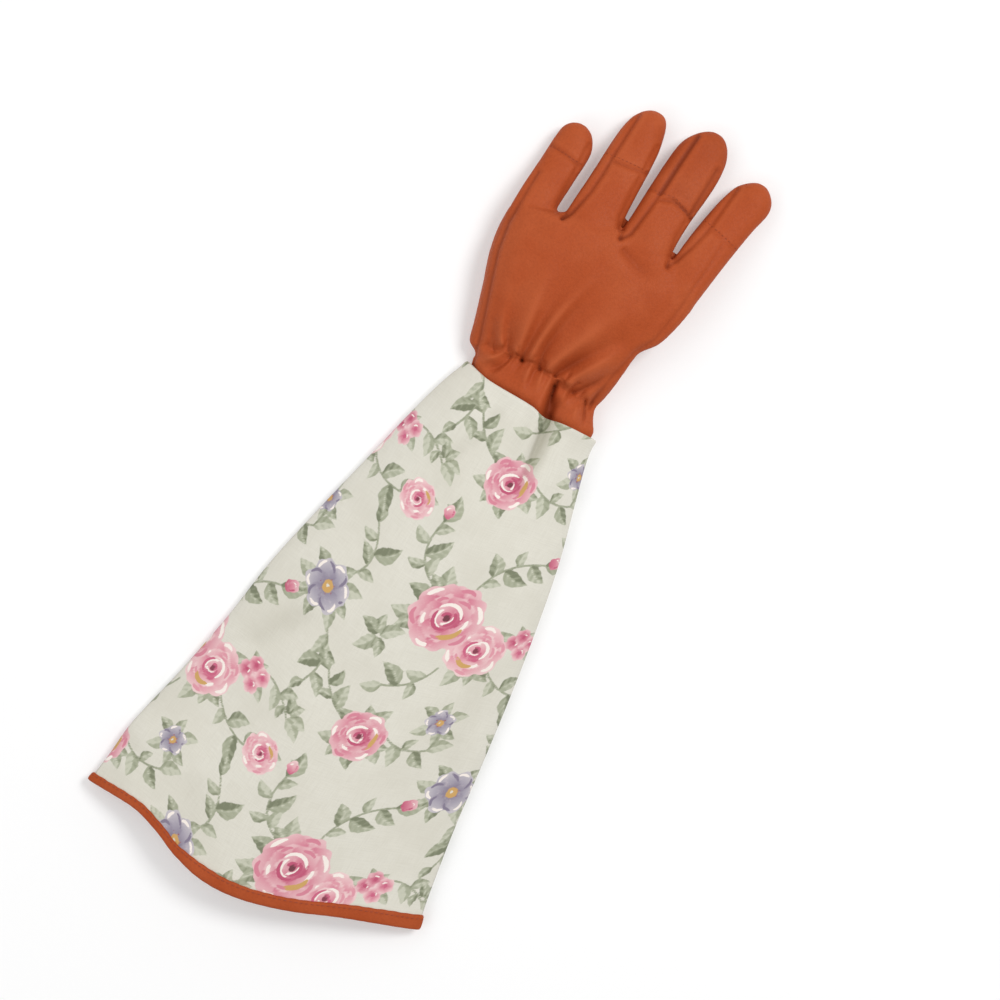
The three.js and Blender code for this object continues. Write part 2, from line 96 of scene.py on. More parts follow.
# The gathers and other dips and ridges of the leather. Each runs through a middle point, its width changes
# along it, and it stands up or dips by its rise
HAND_FOLDS = table(
    "x y mid_x mid_y to_x to_y width to_width rise",
    [6, 331, 6.8, 318, 11, 292, 1.4, 2.6, -3.2],
    [4.8, 328, 9, 311, 14, 290, 1.0, 6.0, -4.2],
    [-26.8, 331, -32.8, 340.6, -43.4, 366, 1.4, 4.5, -2.4],
    [-17.5, 329.5, -19.4, 350, -17.8, 400, 1.3, 6.4, -3.8],
    [-5.6, 330, -8.4, 355, 9, 411, 1.3, 6.4, -3.8],
    [2.6, 331, 9.8, 345, 37, 384, 1.3, 6.4, -4.5],
    [15.5, 328, 25.4, 341.5, 35, 361, 1.5, 4.4, -3.8],
    [-39.7, 328, -39.8, 335, -47.6, 350, 1.5, 3.2, -1.8],
    [-24.2, 330, -28, 320, -38, 313, 1.3, 3.0, -2.8],
    [-30.9, 333, -38.4, 344, -50, 384, 2.0, 6.5, 2.4],
    [-22.8, 332, -25.2, 352, -36, 406, 2.1, 8.0, 3.1],
    [-13.5, 332, -12.6, 359, 1, 414, 2.4, 8.6, 3.7],
    [-2.6, 332, 4.2, 351, 26, 398, 2.1, 8.2, 3.5],
    [9.8, 331, 19.2, 346, 39, 380, 2.0, 7.0, 3.3],
    [-28.2, 331, -34.3, 322.5, -43.8, 314, 1.5, 3.0, 2.3],
    [-22.7, 331, -25.3, 321.1, -29, 311, 1.2, 2.8, 2.3],
    [-12.5, 331, -11.4, 325, -9.5, 312, 1.2, 3.0, 2.2],
    [-4.6, 331.5, -3.6, 326, -1.6, 314, 1.1, 2.6, 2.1],
    [1.2, 333, 1.6, 326, 2.8, 315, 1.1, 2.2, 1.8],
    [13.6, 333, 12.8, 327, 14.6, 314, 1.1, 2.6, 2.1],
    [19.4, 328, 22.6, 321, 26, 311, 1.1, 2.6, 1.9],
    [-17.4, 331, -18.2, 326, -19.4, 318, 1.0, 2.0, -1.5],
    [-8.2, 330, -8.4, 325, -6.2, 316, 1.0, 2.0, -1.5],
    [-6.6, 336, -4.6, 332.4, -1, 324, 0.9, 1.2, -1.3],
    [9.4, 337, 9, 333, 7.6, 327, 0.9, 1.2, -1.6],
    [16.6, 335, 14.6, 329, 16.8, 319, 0.9, 1.5, -2.0],
    [-34.4, 327, -36.4, 331.4, -36.4, 337, 0.9, 1.3, -1.4],
    [-23.2, 336, -21.4, 330, -22.6, 322, 0.9, 1.3, -1.3],
    [-12.4, 336, -13.2, 331, -12.2, 327, 0.8, 1.2, -1.2],
    [21.4, 332, 20.6, 327, 22.6, 320, 0.9, 1.4, -1.5],
    [24.4, 329, 28, 321, 32.4, 311, 1.0, 1.6, -2.8],
    [29, 325, 28.6, 333, 30, 345, 1.1, 3.0, -2.6],
    [-38, 411, -38, 413, -38.6, 417, 1.1, 1.3, -2.4],
    [-4, 417.5, -4.6, 421, -5.4, 426, 1.1, 1.3, -2.6],
    [26.8, 417, 26, 421, 25.2, 426, 1.1, 1.3, -2.6],
    [0, 413, 15, 408, 34, 407, 2.4, 9.0, -2.6],
    [-24, 397, -12, 402, 0, 412, 8.0, 5.0, -1.1],
    [-56, 397, -46, 402, -38, 410, 7.0, 4.0, -1.1],
    [31, 372, 38, 392, 42, 412, 6.0, 6.0, -1.0],
    [-48, 352, -50, 374, -52, 398, 6.0, 7.0, 0.9],
    [4, 372, 12, 388, 14, 404, 9.0, 8.0, 0.9],
)
# The elastic line across the back of the wrist
ELASTIC = table("x y", [-40, 326.6], [-26.4, 329.6], [-5.3, 330.8], [5.4, 329], [14.9, 327], [30, 326.6])

# The hand from the seam to the finger roots, close to the solids
HAND = table(
    "y left right top edge_left edge_right heel cradle",
    [312, -45, 41, 25, 9, 9, 0, 0],
    [317.5, -43, 36.8, 23.6, 9, 9, 0.3, 0.3],
    [321, -44.5, 34.6, 22.4, 9, 9, 0.6, 0.6],
    [324.5, -49.5, 33, 21.4, 9, 9, 1, 1],
    [328, -51, 32, 20.8, 9, 9.5, 1.6, 1.6],
    [334, -52.4, 33.6, 24, 9.5, 10.5, 2.6, 1.6],
    [342, -54.6, 35, 28, 10.3, 14.5, 2.6, 3.2],
    [351, -57.3, 36, 30.8, 11, 19, 2.6, 11],
    [360, -60, 36.8, 32.6, 11, 21, 2.6, 14.4],
    [367, -62.5, 38.2, 33.6, 11.5, 22, 2.6, 14.6],
    [376, -65.2, 45, 34.6, 12, 22.5, 2.6, 14.6],
    [388, -67.4, 49, 35, 12.5, 23, 2.6, 14.6],
    [401, -67.8, 51.6, 35, 13, 23.5, 3, 14.6],
    [405, -67.2, 51.8, 34.6, 13.6, 23.5, 3.6, 14.8],
    [408, -64.8, 51.4, 34.1, 14.4, 23.4, 4.6, 15],
    [414, -42, 46, 32.4, 17, 23, 9, 15.6],
    [421.5, -33, 36, 29, 22, 22, 16, 17.5],
)
# Each finger's thickness, the heights of its middle at the root and the tip, and its side edges
FINGERS = {
    "pinky": (15.5, 18.5, 8.6, table(
        "y left right", [398, -67.2, -44], [408, -67.2, -43.6], [420, -66.8, -43.2], [436, -65.8, -42.4],
        [452, -65, -42], [459, -63.8, -44.6], [463, -60.8, -48], [465, -57, -52],
    )),
    "ring": (16.5, 23.6, 9.0, table(
        "y left right", [398, -37, -7], [414, -38, -6.6], [442, -36.4, -7.6], [470, -35, -8.6],
        [482, -32.6, -10.8], [488, -29, -12.8], [491, -25.6, -15], [492.4, -22.5, -17.5],
    )),
    "middle": (17.0, 24.0, 9.2, table(
        "y left right", [398, -4, 25], [416, -5, 26], [440, -4.4, 26], [470, -2.8, 28.6], [484, -0.8, 28],
        [491.5, 3.4, 25.4], [496.5, 8.6, 21.4], [498.5, 12.5, 17.8],
    )),
    "index": (16.5, 23.6, 9.0, table(
        "y left right", [398, 26, 50.8], [414, 27.4, 52.8], [438, 29.8, 56.2], [460, 33.6, 60],
        [472, 36.8, 62.8], [478.5, 39.8, 61.8], [483.5, 45, 57.8], [485.8, 49, 54.2],
    )),
}
THUMB = table(
    "y left right bottom top",
    [338.5, 6, 29, 4, 12],
    [345, 3, 32.5, 1.8, 13.4],
    [352, 0.5, 34.2, 0.2, 14.2],
    [362, -4, 33.5, 0, 14.2],
    [375, -10.5, 29.5, 0, 14.2],
    [390, -17.5, 22.8, 0, 14.2],
    [404, -22.3, 15.5, 0, 14.2],
    [414, -23.8, 8.6, 0, 14.2],
    [420.5, -21.6, 2.4, 0, 14.2],
    [424, -18, -3, 0, 14.2],
    [425.6, -14, -8, 0, 14.2],
)

# Seam outlines in plan, as in the solids
BACK_PANEL = [
    (-42, 300), (-41.5, 318), (-46, 331), (-50.5, 345), (-56, 362), (-61, 378), (-63.6, 395), (-63, 412),
    (-62, 440), (-61.8, 470), (-20, 505), (47, 505), (48.5, 455), (47.5, 430), (46.5, 405), (44, 381),
    (36.5, 366), (31.5, 348), (28.5, 329), (37, 300),
]
FOURCHETTES = {
    "pinky_ring": [
        (-45, 409), (-45.4, 455), (-40.4, 455), (-40, 483), (-29.6, 483), (-29.8, 450), (-31, 425),
        (-35, 409), (-40, 404),
    ],
    "ring_middle": [
        (-10.6, 422), (-11.2, 445), (-11.8, 476), (-6, 476), (-4.6, 488), (6.2, 488), (4.6, 450), (1.6, 424),
        (-3.6, 410), (-6.6, 410),
    ],
    "middle_index": [
        (22.4, 424), (23.8, 450), (24.6, 482), (31, 482), (31.4, 474), (39.4, 474), (38, 450), (33.4, 428),
        (28.6, 411), (25.4, 411),
    ],
}
CAPS = {
    "pinky": [(-75, 443.5), (-40.8, 442.5), (-40.8, 480), (-75, 480)],
    "ring": [(-40.2, 454.5), (-6.4, 457.5), (-6.4, 510), (-40.2, 510)],
    "middle": [(-5.9, 448.5), (12, 451.5), (29.6, 446), (29.6, 510), (-5.9, 510)],
    "index": [(30, 450), (47, 446), (75, 440), (75, 510), (30, 510)],
}
THUMB_CAP_LINE = [(-40, 377), (3, 397), (40, 417)]

# Seams that show on the back of the hand: each one's depth, and the line that it follows in plan
BACK_SEAMS = [
    (0.85, [
        (-41, 312), (-46, 331), (-50.5, 345), (-56, 362), (-61, 378), (-63.6, 395), (-63.4, 412), (-63, 428),
    ]),
    (0.5, [
        (28.5, 329), (31.5, 348), (35.5, 366), (41.6, 377), (45.3, 398), (45.9, 412), (47.7, 427),
        (48.5, 447),
    ]),
    (0.45, [(-41, 412), (-44.4, 418), (-45.2, 443), (-45.6, 456)]),
    (1.0, [(-37.7, 411), (-34.9, 416.5), (-31.6, 432), (-30.6, 445), (-30.6, 459), (-29.6, 485)]),
    (0.45, [(-6, 421), (-9.8, 428), (-10.8, 445), (-11.4, 474)]),
    (1.0, [(-3.4, 417), (0, 422.7), (2.2, 439.7), (3.6, 453.7), (4.4, 471), (5.8, 491)]),
    (0.45, [(25, 426), (23.4, 434), (24.2, 450), (25, 480)]),
    (0.8, [(27.6, 416), (29.3, 420.7), (33.9, 434), (37, 446), (38.2, 460), (39.6, 476)]),
]
CAP_SEAMS = [
    (0.75, [(-66, 445.4), (-54, 444.6), (-45, 442.8)]),
    (0.75, [(-30.4, 454), (-20, 455.4), (-8, 457.6)]),
    (0.75, [(4.6, 447.6), (12, 450.8), (20, 449.4), (27, 446.4)]),
    (0.4, [(38, 448), (47, 446.4), (58, 443.4)]),
]
# The low webs of leather between the roots of the fingers
WEBS = table(
    "x y to_x to_y height half",
    [-40, 407, -40.6, 414, 15, 4.4],
    [-4.6, 414, -6.6, 430, 16.8, 4.2],
    [26.2, 416, 27, 427, 16.8, 4.0],
)
PAD_HEEL = [
    (-57, 382), (-53, 387.5), (-46, 386), (-40, 372), (-34, 354), (-31.5, 342), (-35, 334.5), (-43, 334),
    (-48, 342), (-53.5, 362),
]
# The oval pad's middle, width and length
PAD_OVAL = (-37, 399, 19, 11)
# How high the back and palm panels meet at the side
PARTING = table(
    "y z", [295, 11], [330, 11], [350, 20], [370, 23], [410, 23], [440, 18.5], [465, 13], [505, 9],
)

# Lines of stitches on the palm
PALM_STITCHES = [
    [(-47, 393), (-25, 371), (-13, 365)],
    [(-64, 414), (-56, 413), (-47, 414)],
    [(12, 410), (30, 406), (40, 403.8)],
    [(12, 408), (30, 404), (40, 401.8)],
]
# The binding's profile: height above the hem, and depth below the cloth's outer face
BINDING_PROFILE = table(
    "height inset",
    [7.5, 0.0], [7.6, -0.7], [7.0, -1.25], [5.4, -1.5], [3.4, -1.65], [1.6, -1.6], [0.5, -1.2], [-0.1, -0.2],
    [-0.2, 1.0], [0.2, 2.4], [1.4, 3.1], [4.0, 3.2], [6.8, 2.9], [7.5, 2.2], [7.4, 1.5],
)
# Slow waves of the cloth and the leather: height, length across, length along, and start
CLOTH_WAVES = ((0.42, 17, 31, 0.6), (0.34, 9.5, -23, 2.1), (0.26, 29, 11.5, 1.2), (0.16, 6.3, 16, 0))
LEATHER_WAVES = ((0.22, 6.1, 9.7, 0), (0.2, 11, -7.3, 1.4), (0.12, 3.7, 5.9, 0.5))
# The leather puffs beside the elastic and is drawn in on it: distance above it, rise, width
PUFFS = ((5, 1.0, 3.6), (-5, 0.7, 3.4), (0, -0.4, 1.5))
# How much each form counts in the leather's colour: painted highlight on ridges, painted shade in dips,
# creases and seam grooves, and paler fingertips and a darker middle cap
SHADE_AND_TONE_SHARES = {"ridge_highlight": 0.42, "dip": 0.26, "crease": 0.44, "seam": 1.9, "tips": 0.35, "middle_cap": 1.2}

# Thicknesses, and how finely each form is cut
CLOTH = 1.5
LEATHER = 1.3
PAD_HEIGHT = 2.0
PAD_EDGE = 0.15
PAD_SHARES = (1.0, 0.98, 0.93, 0.85, 0.72, 0.55, 0.36, 0.15)
# How each section is arched between its side edges: the two powers of its curve
CUFF_ARCH = (2.2, 0.72)
UNDER_ARCH = (6, 0.5)
HAND_ARCH = (3.8, 0.5)
TUBE_ARCH = (2.3, 0.46)
PAD_ARCH = (5, 0.5)
# A stitch's places along it, each with its thickness, and how it lies on the leather
STITCH_PROFILE = ((-0.5, 0.25), (-0.36, 0.8), (0.0, 1.0), (0.36, 0.8), (0.5, 0.25))
STITCH_RISE = 0.12
STEEPEST_STITCH = 0.35
# The stitches' distance from one to the next, length and thickness, and where they lie beside their seams
STITCHES = {
    "cap": {"pitch": 2.4, "length": 1.5, "width": 0.3},
    "palm": {"pitch": 2.8, "length": 1.9, "width": 0.5},
    "hem": {"pitch": 3.1, "length": 2.0, "width": 0.45},
}
ABOVE_CAP_SEAM = 1.6
ABOVE_HEM = 5.9
BINDING_FACE = -1.42
VOXEL = 0.85
SMOOTHINGS = 16
CUFF_GRID = {"front": 190, "back": 80, "rows": 330, "even": 0.85}
LINING_GRID = {"front": 40, "back": 20, "rows": 66, "even": 0.7}
# Points round a section, on top and below, and how evenly they are spaced
BINDING_RING = (260, 150, 0.8)
HAND_RING = (120, 60, 0.6)
STITCH_RING = (900, 700, 0.8)
# Points round a finger, web or thumb, how many sections it has, and how long its rounded tip is
TUBE_POINTS = 48
TUBE_ROWS = {"finger": 60, "thumb": 90, "web": 16}
TIP_LENGTH = {"finger": 11, "thumb": 10}
HAND_ROWS = np.concatenate([[303.0, 307.0], np.arange(311.0, 421.6, 1.2)])
LEATHER_FROM = 306.5
FOLD_POWER = 1.6
FAR = 1e9
# How far the cloth's seam is from the middle of its underside, and where the print starts on the cloth
CLOTH_SEAM = 14.0
PRINT_START = (14.0, 26.0)

# The camera looks straight down, turned so that the glove leans as in the photograph
LEAN = math.radians(29.7)
MM_PER_PIXEL = 0.57
PICTURE = 1000
LOOKS_AT = (10.5, 255.4, 12.0)
CAMERA_HEIGHT = 1.9
SENSOR = 36.0
CAMERA_REACH = 20.0

# The floor and the lights, in metres. Each light: where it stands, how wide it is, and its power
FLOOR = {"half": 6.0, "drop": 0.0002, "tone": 0.7, "rough": 0.85, "glow": 0.28}
LIGHTS = (
    ((0.75, 1.2, 1.9), 0.9, 29.0),
    ((-1.1, 0.3, 1.3), 1.4, 4.0),
    ((-0.7, -1.2, 1.3), 1.4, 6.0),
)
WORLD_LIGHT = 0.47
WHITE = (1.0, 1.0, 1.0)

CUFF_LENGTH = SEAM["y"][0] - HEM["y"][0]
SHIFT = np.array([
    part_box("hem_binding")[0][0] / MM - (CUFF["left"][0] - 1.7),
    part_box("cap_middle")[1][1] / MM - FINGERS["middle"][3]["y"][-1],
    0.0,
])


# Curves and distances

def follow(rows, value, at):
    """A smooth curve through a table's first column and another one, read at any values of the first."""
    xs, ys = next(iter(rows.values())), rows[value]
    at = np.clip(np.asarray(at, float), xs[0], xs[-1])
    i = np.clip(np.searchsorted(xs, at, side="right") - 1, 0, len(xs) - 2)
    before = np.maximum(np.arange(len(xs)) - 1, 0)
    after = np.minimum(np.arange(len(xs)) + 1, len(xs) - 1)
    slopes = (ys[after] - ys[before]) / (xs[after] - xs[before])
    span = xs[i + 1] - xs[i]
    t = (at - xs[i]) / span
    rise = ys[i + 1] - ys[i]
    first, second = slopes[i] * span, slopes[i + 1] * span
    return ys[i] + t * (first + t * (3 * rise - 2 * first - second + t * (first + second - 2 * rise)))


def smoothstep(value, low, high):
    t = np.clip((value - low) / (high - low), 0.0, 1.0)
    return t * t * (3.0 - 2.0 * t)


def lerp(a, b, t):
    return a + (b - a) * t


def bell(distance, width):
    return np.exp(-np.square(distance / width))


def fold_rise(folds, x, y):
    """How far the folds raise the upper layer of the cloth."""
    rise = np.zeros_like(x)
    for ax, ay, bx, by, width, height in zip(*folds.values()):
        dx, dy = bx - ax, by - ay
        length = math.hypot(dx, dy)
        t = ((x - ax) * dx + (y - ay) * dy) / length**2
        away = np.abs((x - ax) * dy - (y - ay) * dx) / length
        rise += height * bell(away, width) * smoothstep(t, -0.12, 0.12) * (1 - smoothstep(t, 0.35, 1.1))
    return rise


def bowed_line(start, turn, end, pieces=8):
    """Points along a curve from start to end that bows towards turn."""
    start, turn, end = (np.array(place, float) for place in (start, turn, end))
    t = np.linspace(0, 1, pieces + 1)[:, None]
    return (1 - t) ** 2 * start + 2 * t * (1 - t) * turn + t**2 * end


def along_path(x, y, corners):
    """Where each point lies along a path of straight pieces, from 0 to 1, and its distance from the path."""
    best, where = np.full(len(x), FAR), np.zeros(len(x))
    for i, (a, b) in enumerate(zip(corners, corners[1:])):
        side = b - a
        t = np.clip(((x - a[0]) * side[0] + (y - a[1]) * side[1]) / (side @ side), 0, 1)
        away = np.hypot(x - a[0] - t * side[0], y - a[1] - t * side[1])
        closer = away < best
        best[closer] = away[closer]
        where[closer] = (i + t[closer]) / (len(corners) - 1)
    return where, best


def curved_rise(folds, x, y):
    """How far curved folds raise the leather, and how deep the sharpest dip is at each point."""
    rise, deepest = np.zeros_like(x), np.zeros_like(x)
    for ax, ay, mx, my, bx, by, width, to_width, height in zip(*folds.values()):
        turn = (2 * mx - (ax + bx) / 2, 2 * my - (ay + by) / 2)
        t, away = along_path(x, y, bowed_line((ax, ay), turn, (bx, by)))
        spread = lerp(width, to_width, t)
        length = math.hypot(bx - ax, by - ay)
        starts = smoothstep(t * length, -1.2, max(0.04 * length, width * width / 6))
        ends = starts * (1 - smoothstep(t, 0.45, 1.0))
        rise += height * np.exp(-np.power(away / spread, FOLD_POWER)) * ends
        crease = height * np.exp(-np.power(away / (0.62 * spread), FOLD_POWER)) * ends
        deepest = np.minimum(deepest, crease / spread)
    return rise, deepest


def waves(x, y, parts):
    """The uneven lie of a soft material."""
    return sum(height * np.sin(x / across + y / along + start) for height, across, along, start in parts)


def inside(points, outline):
    """Which points lie inside an outline in plan."""
    x, y = points[:, 0], points[:, 1]
    within = np.zeros(len(points), bool)
    for (ax, ay), (bx, by) in zip(outline, outline[1:] + outline[:1]):
        if ay != by:
            crosses = (ay > y) != (by > y)
            within ^= crosses & (x < (bx - ax) * (y - ay) / (by - ay) + ax)
    return within


# Meshes

def place_object(name, data):
    obj = bpy.data.objects.new(name, data)
    bpy.context.scene.collection.objects.link(obj)
    return obj


def make_object(name, points, faces, attributes=None, keep_turn=False):
    """An object from points in millimetres. faces is a list of arrays, one for each number of corners."""
    if not keep_turn and signed_volume(points, faces) < 0:
        faces = [group[:, ::-1] for group in faces]
    mesh = bpy.data.meshes.new(name)
    placed = (np.asarray(points) + SHIFT) * MM
    mesh.from_pydata(placed.tolist(), [], [face for group in faces for face in group.tolist()])
    mesh.shade_smooth()
    for key, values in (attributes or {}).items():
        add_attribute(mesh, key, values)
    return place_object(name, mesh)


def add_attribute(mesh, name, values):
    """One number, or three, for each vertex."""
    values = np.asarray(values, np.float32)
    kind, field = ("FLOAT", "value") if values.ndim == 1 else ("FLOAT_VECTOR", "vector")
    mesh.attributes.new(name, kind, "POINT").data.foreach_set(field, values.ravel())


def signed_volume(points, faces):
    total = 0.0
    for group in faces:
        a = points[group[:, 0]]
        for i in range(1, group.shape[1] - 1):
            total += np.einsum("ij,ij->", a, np.cross(points[group[:, i]], points[group[:, i + 1]]))
    return total


def grid_faces(rows, columns, start=0):
    """Four-cornered faces over a grid of points that closes on itself around each row."""
    column = np.arange(columns)
    row = np.arange(rows - 1)[:, None] * columns
    here, beside = row + column, row + (column + 1) % columns
    return start + np.stack([here, beside, beside + columns, here + columns], -1).reshape(-1, 4)


def bridge(turns_a, start_a, turns_b, start_b):
    """Three-cornered faces between two rings with different numbers of points."""
    faces, i, j = [], 0, 0
    after_a, after_b = np.append(turns_a[1:], 2), np.append(turns_b[1:], 2)
    size_a, size_b = len(turns_a), len(turns_b)
    while i < size_a or j < size_b:
        on_a = j >= size_b or (i < size_a and after_a[i] <= after_b[j])
        a, b = start_a + i % size_a, start_b + j % size_b
        faces.append((a, b, start_a + (i + 1) % size_a if on_a else start_b + (j + 1) % size_b))
        i, j = (i + 1, j) if on_a else (i, j + 1)
    return faces


def closed_tube(rings):
    """A tube of rings of points as a closed skin, each end drawn in to its middle."""
    rows, columns = rings.shape[:2]
    points = np.vstack([rings.reshape(-1, 3), rings[0].mean(0), rings[-1].mean(0)])
    column = np.arange(columns)
    beside = (column + 1) % columns
    last = (rows - 1) * columns
    first_end = np.stack([beside, column, np.full(columns, rows * columns)], -1)
    last_end = np.stack([last + column, last + beside, np.full(columns, rows * columns + 1)], -1)
    return points, [grid_faces(rows, columns), np.vstack([first_end, last_end])]


def take_mesh(obj):
    """The points in millimetres, and the four-cornered faces, of an object with its modifiers worked in. The
    object itself goes."""
    bpy.context.view_layer.update()
    mesh = obj.evaluated_get(bpy.context.evaluated_depsgraph_get()).to_mesh()
    points = np.empty(len(mesh.vertices) * 3, np.float32)
    mesh.vertices.foreach_get("co", points)
    corners = np.empty(len(mesh.loops), np.int32)
    mesh.loops.foreach_get("vertex_index", corners)
    bpy.data.objects.remove(obj)
    return points.reshape(-1, 3).astype(float) / MM - SHIFT, corners.reshape(-1, 4)


def point_normals(points, quads):
    """A unit normal for each point, from the faces around it."""
    across = np.cross(points[quads[:, 2]] - points[quads[:, 0]], points[quads[:, 3]] - points[quads[:, 1]])
    normals = np.zeros_like(points)
    for corner in range(4):
        np.add.at(normals, quads[:, corner], across)
    return normals / np.maximum(np.linalg.norm(normals, axis=1, keepdims=True), 1e-9)


def leather_shell(name, points, normals, faces, relief):
    """A panel of leather: its outer face, the inner one below it, and its edge. The normals are those of the
    whole skin, so that the panels shade as one surface where they meet."""
    used = np.unique(np.concatenate([group.ravel() for group in faces]))
    number = np.full(len(points), -1)
    number[used] = np.arange(len(used))
    faces = [number[group] for group in faces]
    pairs = [np.stack([group, np.roll(group, -1, axis=1)], -1).reshape(-1, 2) for group in faces]
    sides = np.concatenate(pairs)
    keys = sides[:, 0] * len(used) + sides[:, 1]
    rim = sides[~np.isin(keys, sides[:, 1] * len(used) + sides[:, 0])]
    edge = np.stack([rim[:, 1], rim[:, 0], rim[:, 0] + len(used), rim[:, 1] + len(used)], -1)
    inner = [group[:, ::-1] + len(used) for group in faces]
    outside, up = points[used], normals[used]
    both = np.vstack([outside, outside - up * LEATHER])
    attributes = {"relief": np.tile(relief[used], 2)}
    obj = make_object(name, both, [*faces, *inner, edge], attributes, keep_turn=True)
    obj.data.normals_split_custom_set_from_vertices(np.vstack([up, -up]))
    return obj


def finish_piece(obj, material, replaced=()):
    """Gives a piece its material, hides the parts that it stands for, and sets the body that it rides on."""
    obj.data.materials.clear()
    obj.data.materials.append(material)
    if replaced:
        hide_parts(*replaced)
    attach(obj, "root")


# Materials

def linear(red, green, blue):
    """A colour given from 0 to 255 as the renderer's own numbers."""
    parts = [value / 255 for value in (red, green, blue)]
    return tuple(p / 12.92 if p <= 0.04045 else ((p + 0.055) / 1.055) ** 2.4 for p in parts)


def palette(**colours):
    return {name: linear(*colour) for name, colour in colours.items()}


# The leather's tones: dark is also the painted shade of its creases and seams, and light the painted
# highlight of its ridges
LEATHER_TONES = palette(dark=(108, 38, 16), plain=(172, 76, 36), light=(184, 90, 50))
BINDING_WARMTH = 0.97
LEATHER_THREAD = linear(170, 74, 38)
HEM_THREAD = linear(168, 74, 44)
# The cream's tones, the last one the colour of the painted shade in the cloth's folds
CLOTH_TONES = palette(plain=(223, 220, 208), shade=(208, 204, 190), dip=(168, 166, 150))
LEAF_TONES = palette(pale=(198, 199, 180), mid=(165, 169, 145), deep=(118, 124, 98))
PETAL_WASH = linear(248, 232, 228)
PETAL_LIGHT = linear(246, 236, 228)
ROSE = palette(pale=(230, 186, 190), mid=(213, 128, 148), deep=(190, 76, 112), heart=(110, 42, 60))
BLUSH = palette(pale=(236, 202, 202), mid=(222, 150, 164), deep=(202, 92, 126), heart=(128, 46, 70))
LILAC = palette(pale=(196, 190, 196), mid=(165, 158, 172), deep=(128, 118, 140), heart=(146, 56, 88))
OCHRE = linear(204, 160, 92)
THREAD_PITCH = 0.9


class Nodes:
    """Short calls for building one material's nodes."""

    def __init__(self, name):
        self.material = bpy.data.materials.new(name)
        self.material.use_nodes = True
        self.tree = self.material.node_tree
        self.shader = self.tree.nodes["Principled BSDF"]

    def add(self, kind, inputs=None, **settings):
        node = self.tree.nodes.new("ShaderNode" + kind)
        for key, value in settings.items():
            setattr(node, key, value)
        for key, value in (inputs or {}).items():
            self.put(node.inputs[key], value)
        return node

    def put(self, socket, value):
        if isinstance(value, bpy.types.NodeSocket):
            self.tree.links.new(value, socket)
        elif isinstance(value, tuple) and len(value) == 3 and socket.type == "RGBA":
            socket.default_value = (*value, 1.0)
        else:
            socket.default_value = value

    def math(self, operation, a, b=0.0):
        return self.add("Math", {0: a, 1: b}, operation=operation).outputs[0]

    def mix(self, amount, a, b, blend="MIX"):
        node = self.add("Mix", data_type="RGBA", blend_type=blend)
        self.put(node.inputs[0], amount)
        self.put(node.inputs[6], a)
        self.put(node.inputs[7], b)
        return node.outputs[2]

    def step(self, value, low, high, to_low=0.0, to_high=1.0):
        inputs = {0: value, 1: low, 2: high, 3: to_low, 4: to_high}
        return self.add("MapRange", inputs, interpolation_type="SMOOTHSTEP").outputs[0]

    def attribute(self, name, output="Fac"):
        return self.add("Attribute", attribute_name=name).outputs[output]

    def scaled(self, vector, scale):
        return self.add("Mapping", {"Vector": vector, "Scale": scale}).outputs[0]

    def place(self):
        """Object coordinates in millimetres."""
        return self.scaled(self.add("TexCoord").outputs["Object"], (1 / MM, 1 / MM, 1 / MM))

    def noise(self, vector, size, detail=3.0, roughness=0.5):
        inputs = {"Vector": vector, "Scale": 1.0 / size, "Detail": detail, "Roughness": roughness}
        return self.add("TexNoise", inputs).outputs["Fac"]

    def cells(self, vector, size, feature="F1"):
        inputs = {"Vector": vector, "Scale": 1.0 / size}
        return self.add("TexVoronoi", inputs, feature=feature).outputs["Distance"]

    def bump(self, height, depth, strength, normal=None):
        inputs = {"Height": height, "Distance": depth * MM, "Strength": strength}
        if normal is not None:
            inputs["Normal"] = normal
        return self.add("Bump", inputs).outputs[0]

    def shaded(self, **inputs):
        """The material, with the shader's inputs given by their names without spaces."""
        sockets = {socket.name.replace(" ", "_"): socket for socket in self.shader.inputs}
        for name, value in inputs.items():
            self.put(sockets[name], value)
        return self.material


def leather_material(name, warmth=1.0):
    """Soft matt grain leather, with painted shade in its creases and seams and painted highlight where it
    stands up.
    """
    n = Nodes(name)
    dark, plain, light = (tuple(part * warmth for part in tone) for tone in LEATHER_TONES.values())
    where = n.place()
    relief = n.attribute("relief")
    cloudy = n.noise(where, 26.0, 4.0)
    fine = n.noise(where, 1.6, 4.0, 0.65)
    tone = n.mix(n.step(cloudy, 0.36, 0.68, 0.0, 0.5), plain, light)
    tone = n.mix(n.step(fine, 0.35, 0.75, 0.0, 0.16), tone, dark)
    # The attribute read here holds painted shade in creases, dips and seam grooves, painted highlight on
    # ridges, and the paler fingertips and darker middle cap
    tone = n.mix(n.step(relief, -0.1, -3.0, 0.0, 0.75), tone, dark)
    tone = n.mix(n.step(relief, 0.15, 1.3, 0.0, 0.75), tone, light)
    pebble = n.step(n.cells(where, 0.95, "SMOOTH_F1"), 0.0, 0.75, 1.0, 0.0)
    grain = n.bump(pebble, 0.16, 0.5)
    grain = n.bump(n.noise(where, 0.45, 2.0), 0.06, 0.4, grain)
    grain = n.bump(n.noise(where, 7.5, 3.0), 0.55, 0.35, grain)
    rough = n.step(pebble, 0.0, 1.0, 0.66, 0.5)
    return n.shaded(Base_Color=tone, Normal=grain, Roughness=rough, Specular_IOR_Level=0.14)


def thread_material(name, colour):
    """Twisted sewing thread."""
    n = Nodes(name)
    twist = n.noise(n.place(), 0.35, 2.0)
    tone = n.mix(twist, tuple(part * 0.6 for part in colour), colour)
    return n.shaded(Base_Color=tone, Normal=n.bump(twist, 0.1, 0.5), Roughness=0.7)


